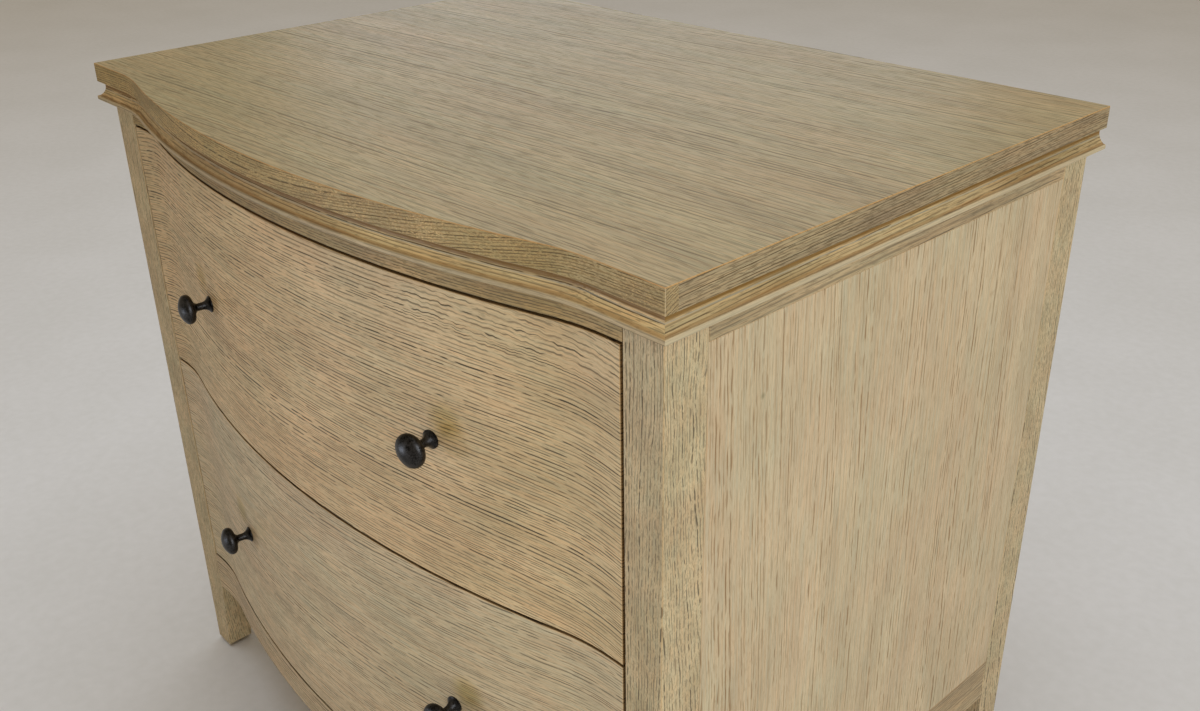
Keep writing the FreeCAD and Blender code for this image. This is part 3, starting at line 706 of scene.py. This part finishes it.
@dataclass(frozen=True)
class Plywood(PlanedTimber):
    """Rotary-cut plywood, lacquered: a broad soft figure on the face and striped plies on the edges."""

    streak: Triple = (260.0, 14.0, 14.0)
    ply: float = 1.2
    ply_ramp: Ramp = Ramp(0.45, 0.55)
    edge_ramp: Ramp = Ramp(0.7, 0.3, 0.0, 0.8)
    cross_ply: str = "#8d6f4a"
    flame: Triple = (800.0, 150.0, 150.0)
    flames: float = 14.0
    flame_ramp: Ramp = Ramp(0.55, 1.0, 1.0, 0.88)

    def draw(self, canvas: Canvas) -> dict[str, Any]:
        """Draw the face and the edges.

        Args:
            canvas: What they are drawn on.

        Returns:
            What goes into the shader's inputs.
        """
        tree = canvas.tree
        look = super().draw(canvas)
        depth, facing = [add(tree, SPLIT, {0: source}).outputs[self.run.face_axis]
                         for source in (canvas.place, canvas.normal)]
        pair = add(tree, MATH, {0: depth, 1: 2 * self.ply}, operation="DIVIDE")
        part = add(tree, MATH, {0: pair}, operation="FRACT")
        cross = add(tree, RANGE, self.ply_ramp.over(part))
        edge = add(tree, RANGE, self.edge_ramp.over(facing))
        amount = add(tree, MATH, {0: cross, 1: edge}, operation="MULTIPLY")

        # The flame of a peeled log, as lines of equal height on a soft hill
        hill = cloud(tree, self.sown(canvas), self.flame, 1.0)
        climb = add(tree, MATH, {0: hill, 1: self.flames}, operation="MULTIPLY")
        step = add(tree, MATH, {0: climb}, operation="FRACT")
        flame = add(tree, RANGE, self.flame_ramp.over(step))
        flamed = add(tree, VECTOR, {0: look["Base Color"], "Scale": flame}, operation="SCALE")
        look["Base Color"] = add(tree, MIX, {"Factor": amount, "A": flamed, "B": linear(self.cross_ply)},
                                 data_type="RGBA")
        return look


@dataclass(frozen=True)
class Grained(Finish):
    """A surface whose look is two sizes of grain, which give its colour, gloss and relief together."""

    light: str
    dark: str
    coarse: Triple
    fine: Triple
    roughness: Pair
    metallic: float = 0.0
    contrast: Pair = (0.75, 1.25)
    relief: float = 0.03
    relief_strength: float = 0.4

    def draw(self, canvas: Canvas) -> dict[str, Any]:
        """Draw both grains.

        Args:
            canvas: What they are drawn on.

        Returns:
            What goes into the shader's inputs.
        """
        tree = canvas.tree
        coarse, fine = [cloud(tree, canvas.place, lengths, 3.0) for lengths in (self.coarse, self.fine)]
        both = add(tree, MATH, {0: coarse, 1: fine}, operation="ADD")
        blend = add(tree, RANGE, Ramp(*self.contrast).over(both))
        colour = add(tree, MIX, {"Factor": blend, "A": linear(self.dark), "B": linear(self.light)},
                     data_type="RGBA")
        rough = add(tree, RANGE, Ramp(*self.contrast, *self.roughness).over(both))
        bump = add(tree, "ShaderNodeBump", {"Height": both, "Distance": self.relief * MM,
                                            "Strength": self.relief_strength})
        return {"Base Color": colour, "Roughness": rough, "Normal": bump, "Metallic": self.metallic}


# Iron turned and blackened in oil: near black, satin, a little mottled
IRON = Grained("blackened_turned_iron", "#4a4847", "#171615", (5.0, 5.0, 5.0), (0.9, 0.9, 0.9), (0.29, 0.46),
               metallic=1.0)
# Sheet steel rolled and zinc plated: pale grey with faint lines along the sheet
ZINC = Grained("zinc_plated_rolled_steel", "#c2c4c4", "#a0a4a8", (9.0, 120.0, 9.0), (0.6, 30.0, 0.6),
               (0.28, 0.44), metallic=1.0)
# Steel screws, headed and zinc plated: brighter, with a fine grain
SCREW_ZINC = Grained("zinc_plated_screw_steel", "#c9c8c2", "#9d9c98", (2.0, 2.0, 2.0), (0.4, 0.4, 0.4),
                     (0.25, 0.4), metallic=1.0)
# Nylon moulded in a spark-eroded tool: dark brown with a fine pebble
NYLON = Grained("moulded_nylon", "#4a4038", "#3a322b", (3.0, 3.0, 3.0), (0.7, 0.7, 0.7), (0.45, 0.6))
# Fibreboard, sawn and sealed: brown felted specks without any grain
FIBREBOARD = Grained("sealed_fibreboard", "#a5916f", "#89775a", (3.5, 3.5, 1.2), (0.7, 0.7, 0.5), (0.65, 0.8))
# Studio floor, painted matt: very faint roller marks, drawn larger than they are so that they show
FLOOR = Grained("matt_floor_paint", "#e9e6e1", "#e3e0da", (260.0, 260.0, 260.0), (14.0, 14.0, 14.0),
                (0.75, 0.85))
# Oak of the upper front: warm, its rows of pores falling at the ends and rippled at the upper right
# Its edges are darkened as painted shade for the gaps round the drawer, and a painted shadow lies beside each
# knob
UPPER_FRONT = OakBoard("toasted_oak_upper_drawer", Run.BOWED_FRONT, (330.0, 120.0), ring=2.5, even=0.45,
                       broken=0.38, shift=20.0, pores=1.0, scatter=0.25, ripple=(225.0, 102.0),
                       knob_shadow=KNOB_SHADOW_SPOT, crown=11.0, stretch=0.7, wander=4.5, edge=(0.32, 0.25, 0.16),
                       pale="#e0c294", deep="#c6aa7e", pore_colour="#3d3523")
# Oak of the lower front: greyer, its rows of pores running a little uphill
# Its edges are darkened as painted shade for the gaps round the drawer, and a painted shadow lies beside each
# knob
LOWER_FRONT = OakBoard("toasted_oak_lower_drawer", Run.BOWED_FRONT, (-380.0, 100.0), (0.045, 0.0), ring=2.4,
                       even=0.4, broken=0.4, shift=26.0, pores=0.9, scatter=0.25, knob_shadow=KNOB_SHADOW_SPOT,
                       stretch=0.8, wander=4.5, edge=(0.32, 0.25, 0.16), pale="#d6c09a", deep="#bfaa87",
                       pore_colour="#4c4433")
# Pale wood, deep wood and flecks of the timbers inside: greenish poplar, and birch in two tones
POPLAR = ("#c4b08b", "#a99a72", "#8d8258")
CASE_BIRCH = ("#d3ba92", "#c2a67b", "#96794f")
DRAWER_BIRCH = ("#d8bf97", "#c7ac82", "#9a7d54")


class ScrewKind(Enum):
    """Screws by head radius, head height, shank radius and shank length, in mm."""

    FLUSH = (3.6, 0.5, 1.7, 12.0)
    PAN = (3.4, 1.9, 1.8, 10.0)
    KNOB = (4.5, 2.8, 2.0, 32.0)


@dataclass
class Screws:
    """Cross-recessed screws, set on points by Geometry Nodes. The cross is in shares of the head."""

    arm: float = 0.56
    slot: float = 0.17
    recess: float = 1.3
    head_segments: int = 24
    head_rings: int = 12
    shank_sides: int = 16
    sharp: float = math.radians(35)
    seed: int = 7
    sizes: tuple[str, ...] = ("Head Radius", "Head Height", "Shank Radius", "Shank Length")
    name: str = "cross_recessed_screws"

    def tree(self) -> Tree:
        """Build the tree that puts a screw on every point, or find it.

        Returns:
            The tree, with the sizes of a screw as named inputs.
        """
        if self.name in bpy.data.node_groups:
            return bpy.data.node_groups[self.name]
        inputs = {"Points": "Geometry"} | dict.fromkeys(self.sizes, "Float") | {"Finish": "Material"}
        tree = new_tree(self.name, "GeometryNodeTree", inputs, {"Screws": "Geometry"})
        given = add(tree, "NodeGroupInput").outputs
        screw = add(tree, "GeometryNodeJoinGeometry")
        for part in (self.head(tree, given), self.shank(tree, given)):
            tree.links.new(part.outputs[0], screw.inputs[0])
        facing = add(tree, "GeometryNodeInputNamedAttribute", {"Name": "facing"}, data_type="FLOAT_VECTOR")
        upright = add(tree, "FunctionNodeAlignRotationToVector", {"Vector": facing}, axis="Z")
        angle = add(tree, "FunctionNodeRandomValue", {"Min": 0.0, "Max": math.pi / 2, "Seed": self.seed},
                    data_type="FLOAT")
        twist = add(tree, "FunctionNodeAxisAngleToRotation", {"Axis": (0.0, 0.0, 1.0), "Angle": angle})
        turned = add(tree, "FunctionNodeRotateRotation", {"Rotation": upright, "Rotate By": twist},
                     rotation_space="LOCAL")
        placed = add(tree, "GeometryNodeInstanceOnPoints", {"Points": given["Points"], "Instance": screw,
                                                            "Rotation": turned})
        real = add(tree, "GeometryNodeRealizeInstances", {"Geometry": placed})
        dressed = add(tree, "GeometryNodeSetMaterial", {"Geometry": real, "Material": given["Finish"]})
        add(tree, "NodeGroupOutput", {"Screws": dressed})
        return tree

    def head(self, tree: Tree, given: Sockets) -> Node:
        """Domed head with a cross cut into it.

        Args:
            tree: Tree that gets the nodes.
            given: Inputs of the tree.

        Returns:
            A node with the head.
        """
        ball = add(tree, "GeometryNodeMeshUVSphere", {"Segments": self.head_segments, "Radius": 1.0,
                                                      "Rings": self.head_rings})
        radius = given["Head Radius"]
        scale = add(tree, COMBINE, {0: radius, 1: radius, 2: given["Head Height"]})
        head = add(tree, "GeometryNodeMeshBoolean", {"Mesh 1": ball}, operation="DIFFERENCE")
        for size in ((2 * self.arm, 2 * self.slot, self.recess), (2 * self.slot, 2 * self.arm, self.recess)):
            bar = add(tree, "GeometryNodeMeshCube", {"Size": size})
            raised = add(tree, "GeometryNodeTransform", {"Geometry": bar, "Translation": (0.0, 0.0, 1.0)})
            tree.links.new(raised.outputs[0], head.inputs["Mesh 2"])
        sized = add(tree, "GeometryNodeTransform", {"Geometry": head, "Scale": scale})
        smooth = add(tree, "GeometryNodeSetShadeSmooth", {"Geometry": sized, "Shade Smooth": True})
        angle = add(tree, "GeometryNodeInputMeshEdgeAngle")
        crease = add(tree, "FunctionNodeCompare", {"A": angle, "B": self.sharp}, data_type="FLOAT",
                     operation="GREATER_THAN")
        return add(tree, "GeometryNodeSetShadeSmooth", {"Geometry": smooth, "Selection": crease,
                                                        "Shade Smooth": False}, domain="EDGE")

    def shank(self, tree: Tree, given: Sockets) -> Node:
        """Plain shank under the head.

        Args:
            tree: Tree that gets the nodes.
            given: Inputs of the tree.

        Returns:
            A node with the shank.
        """
        length = given["Shank Length"]
        rod = add(tree, "GeometryNodeMeshCylinder", {"Vertices": self.shank_sides, "Depth": length,
                                                     "Radius": given["Shank Radius"]})
        drop = add(tree, MATH, {0: length, 1: -0.5}, operation="MULTIPLY")
        offset = add(tree, COMBINE, {2: drop})
        return add(tree, "GeometryNodeTransform", {"Geometry": rod, "Translation": offset})

    def drive(self, name: str, kind: ScrewKind, places: Places, body: str) -> bpy.types.Object:
        """Drive screws into one body.

        Args:
            name: Name of the new piece.
            kind: Which screw.
            places: Where each head sits, in mm, and which way it looks out.
            body: Body that the screws ride on.

        Returns:
            One plain mesh object with all the screws.
        """
        points = bpy.data.meshes.new(name + "_places")
        points.from_pydata([spot * MM for spot, _ in places], [], [])
        facing = points.attributes.new("facing", "FLOAT_VECTOR", "POINT")
        facing.data.foreach_set("vector", [part for _, out in places for part in out])
        holder = new_object(name + "_places", points)
        modifier = holder.modifiers.new("screws", "NODES")
        modifier.node_group = self.tree()
        sockets = {item.name: item.identifier for item in modifier.node_group.interface.items_tree}
        for socket, value in zip(self.sizes, kind.value):
            modifier[sockets[socket]] = value * MM
        modifier[sockets["Finish"]] = SCREW_ZINC.material(Vector(), Vector())
        drawn = bpy.data.meshes.new_from_object(holder.evaluated_get(bpy.context.evaluated_depsgraph_get()))
        bpy.data.objects.remove(holder)
        piece = new_object(name, drawn)
        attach(piece, body)
        log.info("drove %d screws: %s", len(places), name)
        return piece


class SubAssembly:
    """Pieces that are finished together."""

    def finishes(self) -> dict[str, Finish]:
        """Finish of each piece, by node name."""
        raise NotImplementedError

    def fasten(self, screws: Screws) -> None:
        """Drive the screws of the pieces; most have none of their own."""

    def dress(self, nodes: dict[str, bpy.types.Object]) -> None:
        """Give each piece its finish.

        Args:
            nodes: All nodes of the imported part.
        """
        for name, finish in self.finishes().items():
            data = nodes[name].data
            data.materials.clear()
            data.materials.append(finish.material(*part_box(name)))
            log.info("dressed %s in %s", name, finish.name)


@dataclass
class Top(SubAssembly):
    """Veneered top with lipped edges, on a cove moulding."""

    dark_pore: str = "#574629"
    bare_arris: str = "#dcc59c"
    # Paler painted sheen on the lip of the side mouldings
    side_lip_sheen: Band = Band(1.4, 3.2, 0.6, "#cbbc9b")

    def finishes(self) -> dict[str, Finish]:
        """Finish of each piece, by node name."""
        dressed: dict[str, Finish] = {
            "top_veneer": OakBoard(
                "toasted_oak_top", Run.LEVEL_TOP, (-700.0, -60.0), (0.05, 0.0), ring=4.4, even=0.2,
                broken=0.38, shift=3.0, wander=6.0, pores=0.75, scatter=0.45, stretch=2.0, spread=1.4,
                edge=(1.0, 0.74, 0.46), matt=0.44, wear=0.8, pale="#c9b588", deep="#b5a278",
                pore_colour="#6b5f44"),
            "top_edging_front": OakBoard(
                "toasted_oak_edging", Run.LEVEL_FRONT, (-90.0, 60.0), (0.02, 0.0), ring=1.8, shift=9.0,
                pores=0.95, scatter=0.45, stretch=0.36, spread=0.8, edge=(0.88, 0.92, 1.15), flecks=0.4,
                pale="#bc9f66", deep="#9d834f", pore_colour=self.dark_pore, arris=self.bare_arris),
            "moulding_front": MouldedOak(
                "toasted_oak_moulding", Run.BOWED_FRONT, (-140.0, 30.0), ring=2.4, shift=12.0, pores=1.0,
                wear=0.0, pale="#e9ca90", deep="#b2966a", pore_colour=self.dark_pore),
            "top_core": FIBREBOARD,
            "subtop_back_rail": PlanedTimber("planed_poplar_subtop", Run.LEVEL_FRONT, *POPLAR),
        }
        for side, sign in (("left", -1), ("right", 1)):
            dressed["top_edging_" + side] = OakBoard(
                "toasted_oak_edging_" + side, Run.LEVEL_SIDE, (-110.0, sign * 30.0), (0.03, 0.0), ring=2.0,
                shift=46.0 + sign, pores=1.0, scatter=0.6, pale="#b09a73", deep="#917d5f",
                pore_colour=self.dark_pore, arris=self.bare_arris)
            dressed["moulding_" + side] = MouldedOak(
                "toasted_oak_moulding_" + side, Run.LEVEL_SIDE, (-130.0, sign * 30.0), (0.02, 0.0), ring=2.2,
                shift=52.0 + sign, wear=0.0, pale="#cfb585", deep="#a48a5c", pore_colour=self.dark_pore,
                lip_sheen=self.side_lip_sheen)
        return dressed


@dataclass
class Carcass(SubAssembly):
    """Posts, side panels, rails, back and bottom."""

    bottom_ply: float = 1.33
    pin_knot: Pair = (185.7, -152.8)
    block_inset: float = 26.0
    block_depth: float = 22.0

    def finishes(self) -> dict[str, Finish]:
        """Finish of each piece, by node name."""
        dressed: dict[str, Finish] = {
            # The top rail and the apron have their edges darkened as painted shade for the gaps round the
            # drawers
            "front_top_rail": OakBoard(
                "toasted_oak_top_rail", Run.BOWED_FRONT, (-90.0, 60.0), ring=2.0, shift=15.0, pores=1.0,
                scatter=0.45, stretch=0.6, edge=(0.5, 0.44, 0.36), pale="#b89a62", deep="#977c4d"),
            "front_apron": OakBoard(
                "toasted_oak_apron", Run.BOWED_FRONT, (-220.0, 60.0), (0.02, 0.0), shift=31.0,
                edge=(0.6, 0.55, 0.48), pale="#d2ba93", deep="#b9a27f"),
            "back_panel": Plywood("lacquered_birch_plywood_back", Run.UPRIGHT_FRONT, *CASE_BIRCH),
            "bottom_board": Plywood("lacquered_birch_plywood_bottom", Run.LEVEL_TOP, *CASE_BIRCH, shift=40.0,
                                    ply=self.bottom_ply),
            "corner_blocks": PlanedTimber("planed_poplar_blocks", Run.LEVEL_FRONT, *POPLAR, shift=70.0),
            "slide_cleats": PlanedTimber("planed_poplar_cleats", Run.LEVEL_SIDE, *POPLAR, shift=80.0),
            "drawer_divider": PlanedTimber("planed_poplar_divider", Run.LEVEL_FRONT, *POPLAR, shift=90.0),
            "foot_glides": NYLON,
        }
        for name, shift in (("back_top_rail", 0.0), ("back_bottom_rail", 30.0)):
            dressed[name] = PlanedTimber("planed_poplar_" + name, Run.LEVEL_FRONT, *POPLAR, shift=shift)
        for side, sign in (("left", -1), ("right", 1)):
            for number, name in enumerate(("front_post_", "back_post_")):
                dressed[name + side] = OakBoard(
                    "toasted_oak_" + name + side, Run.UPRIGHT_FRONT, (sign * -75.0, 60.0),
                    (0.03 * sign, 0.02), ring=1.75, broken=0.42, shift=35.0 + sign + 6 * number, pores=1.0,
                    scatter=0.4, stretch=0.3, spread=0.9, wander=12.0, wear=0.4, pale="#d2bc93",
                    deep="#b9a47e")
            dressed["side_panel_" + side] = OakBoard(
                "toasted_oak_panel_" + side, Run.UPRIGHT_SIDE, (-420.0, sign * -80.0), (-0.03, 0.0), ring=3.4,
                even=0.1, broken=0.44, shift=40.0 + sign, pores=1.0, scatter=0.3, stretch=0.9, wander=7.0,
                wear=0.2, pale="#d0bc98", deep="#bfab89", pore_colour="#8f6f48",
                knot=self.pin_knot if side == "right" else None)
            for number, name in enumerate(("side_top_rail_", "side_bottom_rail_")):
                dressed[name + side] = OakBoard(
                    "toasted_oak_" + name + side, Run.LEVEL_SIDE, (-90.0, sign * -60.0), (0.02, 0.0),
                    ring=2.2, shift=60.0 + sign + 5 * number, wear=0.2, pale="#c0aa82", deep="#a38d6a",
                    pore_colour="#5c4f38")
        return dressed

    def fasten(self, screws: Screws) -> None:
        """Screw the corner blocks up into the bottom board.

        Args:
            screws: Maker of screws.
        """
        low, high = [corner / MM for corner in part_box("corner_blocks")]
        places = []
        for x in (low.x + self.block_inset, high.x - self.block_inset):
            for y in (low.y + self.block_depth, high.y - self.block_depth):
                places.append((Vector((x, y, low.z)), Vector((0.0, 0.0, -1.0))))
        screws.drive("corner_block_screws", ScrewKind.PAN, places, "case")


@dataclass
class Drawer(SubAssembly):
    """One drawer: bowed oak front, birch box and two turned knobs."""

    level: str
    front: OakBoard
    knob_x: float = 161.0
    front_thickness: float = 22.05
    shift: float = 0.0

    def finishes(self) -> dict[str, Finish]:
        """Finish of each piece, by node name."""
        box: dict[str, Finish] = {"front": self.front}
        box["bottom"] = Plywood("lacquered_birch_plywood_drawer", Run.LEVEL_TOP, *DRAWER_BIRCH,
                                shift=self.shift)
        boards = (("back", "back", Run.LEVEL_FRONT, 10), ("side_left", "side", Run.LEVEL_SIDE, 20),
                  ("side_right", "side", Run.LEVEL_SIDE, 30))
        for name, board, run, step in boards:
            box[name] = PlanedTimber("lacquered_birch_" + board, run, *DRAWER_BIRCH, shift=self.shift + step)
        box |= {"knob_left": IRON, "knob_right": IRON, "knob_screws": SCREW_ZINC, "slide_members": ZINC}
        return {"%s_drawer_%s" % (self.level, name): finish for name, finish in box.items()}

    def fasten(self, screws: Screws) -> None:
        """Hold the knobs with screws from inside.

        Args:
            screws: Maker of screws.
        """
        name = self.level + "_drawer_front"
        low, high = [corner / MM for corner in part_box(name)]
        turn = math.asin(self.knob_x / BOW_RADIUS)
        face = low.y + BOW_RADIUS * (1 - math.cos(turn))
        places = []
        for side in (-1, 1):
            inward = Vector((-side * math.sin(turn), math.cos(turn), 0.0))
            spot = Vector((side * self.knob_x, face, (low.z + high.z) / 2)) + inward * self.front_thickness
            places.append((spot, inward))
        body = self.level + "_drawer"
        piece = screws.drive(self.level + "_knob_fixing_screws", ScrewKind.KNOB, places, body)
        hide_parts(self.level + "_drawer_knob_screws")


@dataclass
class Slides(SubAssembly):
    """Telescopic slides with the screws that hold them to the case and the drawers."""

    sheet: float = 1.3
    flange: float = 6.4
    shares: tuple[float, ...] = (0.09, 0.36, 0.64, 0.91)

    def finishes(self) -> dict[str, Finish]:
        """Finish of each piece, by node name."""
        members = ("slide_case_members", "upper_slide_middle_members", "lower_slide_middle_members")
        return dict.fromkeys(members, ZINC)

    def row(self, node: str, inset: float, level: float, out: int) -> Places:
        """Places of the screws along a pair of members.

        Args:
            node: Node of the members.
            inset: How far the members' web lies inside the node's box, in mm.
            level: Height of the members' middle, in mm.
            out: 1 where the heads look away from the middle of the nightstand, -1 where they look towards it.

        Returns:
            Places and directions of the screws.
        """
        low, high = [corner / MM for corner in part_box(node)]
        places = []
        for side, x in ((-1, low.x + inset), (1, high.x - inset)):
            for share in self.shares:
                spot = Vector((x, low.y + share * (high.y - low.y), level))
                places.append((spot, Vector((side * out, 0.0, 0.0))))
        return places

    def fasten(self, screws: Screws) -> None:
        """Screw the members to the case and the drawers.

        Args:
            screws: Maker of screws.
        """
        held = []
        for level in ("upper", "lower"):
            node = level + "_drawer_slide_members"
            low, high = [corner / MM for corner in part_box(node)]
            middle = (low.z + high.z) / 2
            held += self.row("slide_case_members", self.sheet, middle, -1)
            places = self.row(node, self.flange - self.sheet, middle, 1)
            screws.drive(level + "_drawer_slide_screws", ScrewKind.PAN, places, level + "_drawer")
        screws.drive("case_slide_screws", ScrewKind.FLUSH, held, "case")


class Reach(Enum):
    """What a soft box lights: everything, or with its flags set all but the floor, or the floor alone."""

    ALL = ""
    PIECE = "EXCLUDE"
    FLOOR = "INCLUDE"


@dataclass(frozen=True)
class SoftBox:
    """A soft box on a stand. Flags keep a low one off the floor, so that it leaves no pool of light there."""

    name: str
    spot: Triple
    size: Pair
    power: float
    spread: float = 180.0
    aim: Triple = (0.2, -0.1, 0.5)
    colour: str = "#ddebff"
    reach: Reach = Reach.ALL

    def hang(self, floor: bpy.types.Object) -> None:
        """Hang the box so that it faces what it is aimed at.

        Args:
            floor: Floor that some boxes light alone and others not at all.
        """
        data = bpy.data.lights.new(self.name, "AREA")
        data.shape = "RECTANGLE"
        data.size, data.size_y = self.size
        data.energy = self.power
        data.color = linear(self.colour)[:3]
        data.spread = math.radians(self.spread)
        lamp = new_object(self.name, data)
        lamp.location = self.spot
        lamp.visible_camera = False
        lamp.rotation_euler = (Vector(self.aim) - Vector(self.spot)).to_track_quat("-Z", "Y").to_euler()
        if self.reach is not Reach.ALL:
            flags = bpy.data.collections.new(self.name + "_flags")
            flags.objects.link(floor)
            flags.collection_objects[0].light_linking.link_state = self.reach.value
            lamp.light_linking.receiver_collection = flags
        log.info("hung %s", self.name)


@dataclass
class Studio:
    """Camera, floor and lights. The eye is in mm, angles in degrees, and the rest in metres and watts."""

    eye: Triple = (784.9, -657.4, 934.0)
    azimuth: float = 47.31
    elevation: float = 26.76
    roll: float = 1.02
    focal_pixels: float = 1231.3
    frame_pixels: float = 1200.0
    sensor: float = 36.0
    near: float = 0.01
    floor_reach: float = 30.0
    floor_drop: float = 0.0005
    ambient: float = 0.352
    ambient_colour: str = "#ffeed2"
    boxes: tuple[SoftBox, ...] = (
        SoftBox("right_box", (2.4, -0.78, 1.5), (1.6, 1.6), 43.5, colour="#e9f3ff", reach=Reach.PIECE),
        SoftBox("top_box", (0.2, 0.4, 2.8), (2.0, 2.0), 10.4),
        SoftBox("front_box", (-0.9, -1.7, 0.12), (0.5, 0.2), 2.0, 70.0, (1.2, -0.25, 0.5), reach=Reach.PIECE),
        SoftBox("back_box", (-2.0, 2.1, 1.05), (2.2, 0.6), 12.9, reach=Reach.PIECE),
        SoftBox("floor_box", (0.0, 0.0, 4.0), (5.0, 5.0), 90.0, aim=(0.0, 0.0, 0.0), reach=Reach.FLOOR),
    )

    def camera(self) -> None:
        """Set up the camera where the photograph was taken from."""
        turn, drop, roll = [math.radians(angle) for angle in (self.azimuth, self.elevation, self.roll)]
        ahead = Vector((-math.sin(turn) * math.cos(drop), math.cos(turn) * math.cos(drop), -math.sin(drop)))
        right = Vector((math.cos(turn), math.sin(turn), 0.0))
        down = ahead.cross(right)
        across = math.cos(roll) * right + math.sin(roll) * down
        up = math.sin(roll) * right - math.cos(roll) * down
        data = bpy.data.cameras.new("camera")
        data.sensor_width = self.sensor
        data.lens = self.focal_pixels * self.sensor / self.frame_pixels
        data.clip_start = self.near
        camera = new_object("camera", data)
        turned = Matrix((across, up, -ahead)).transposed().to_4x4()
        camera.matrix_world = Matrix.Translation(Vector(self.eye) * MM) @ turned
        bpy.context.scene.camera = camera

    def floor(self) -> bpy.types.Object:
        """Lay a plain pale floor.

        Returns:
            The floor.
        """
        mesh = bpy.data.meshes.new("floor")
        signs = ((-1, -1), (1, -1), (1, 1), (-1, 1))
        corners = [(x * self.floor_reach, y * self.floor_reach, -self.floor_drop) for x, y in signs]
        mesh.from_pydata(corners, [], [(0, 1, 2, 3)])
        mesh.materials.append(FLOOR.material(Vector(), Vector()))
        floor = new_object("floor", mesh)
        log.info("laid the floor in %s", FLOOR.name)
        return floor

    def build(self) -> None:
        """Set up the whole studio."""
        self.camera()
        floor = self.floor()
        world = bpy.data.worlds.new("studio")
        world.use_nodes = True
        sky = world.node_tree.nodes["Background"].inputs
        sky["Color"].default_value = linear(self.ambient_colour)
        sky["Strength"].default_value = self.ambient
        bpy.context.scene.world = world
        for box in self.boxes:
            box.hang(floor)
        bpy.context.scene.view_settings.view_transform = "Standard"


def main() -> None:
    """Dress the nightstand, drive its screws and set up the studio."""
    logging.basicConfig(level=logging.INFO, format="%(name)s: %(message)s")
    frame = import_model()
    drawers = (Drawer("upper", UPPER_FRONT), Drawer("lower", LOWER_FRONT, shift=50.0))
    screws = Screws()
    for part in (Top(), Carcass(), *drawers, Slides()):
        part.dress(frame["nodes"])
        part.fasten(screws)
    Studio().build()


if __name__ == "__main__":
    main()
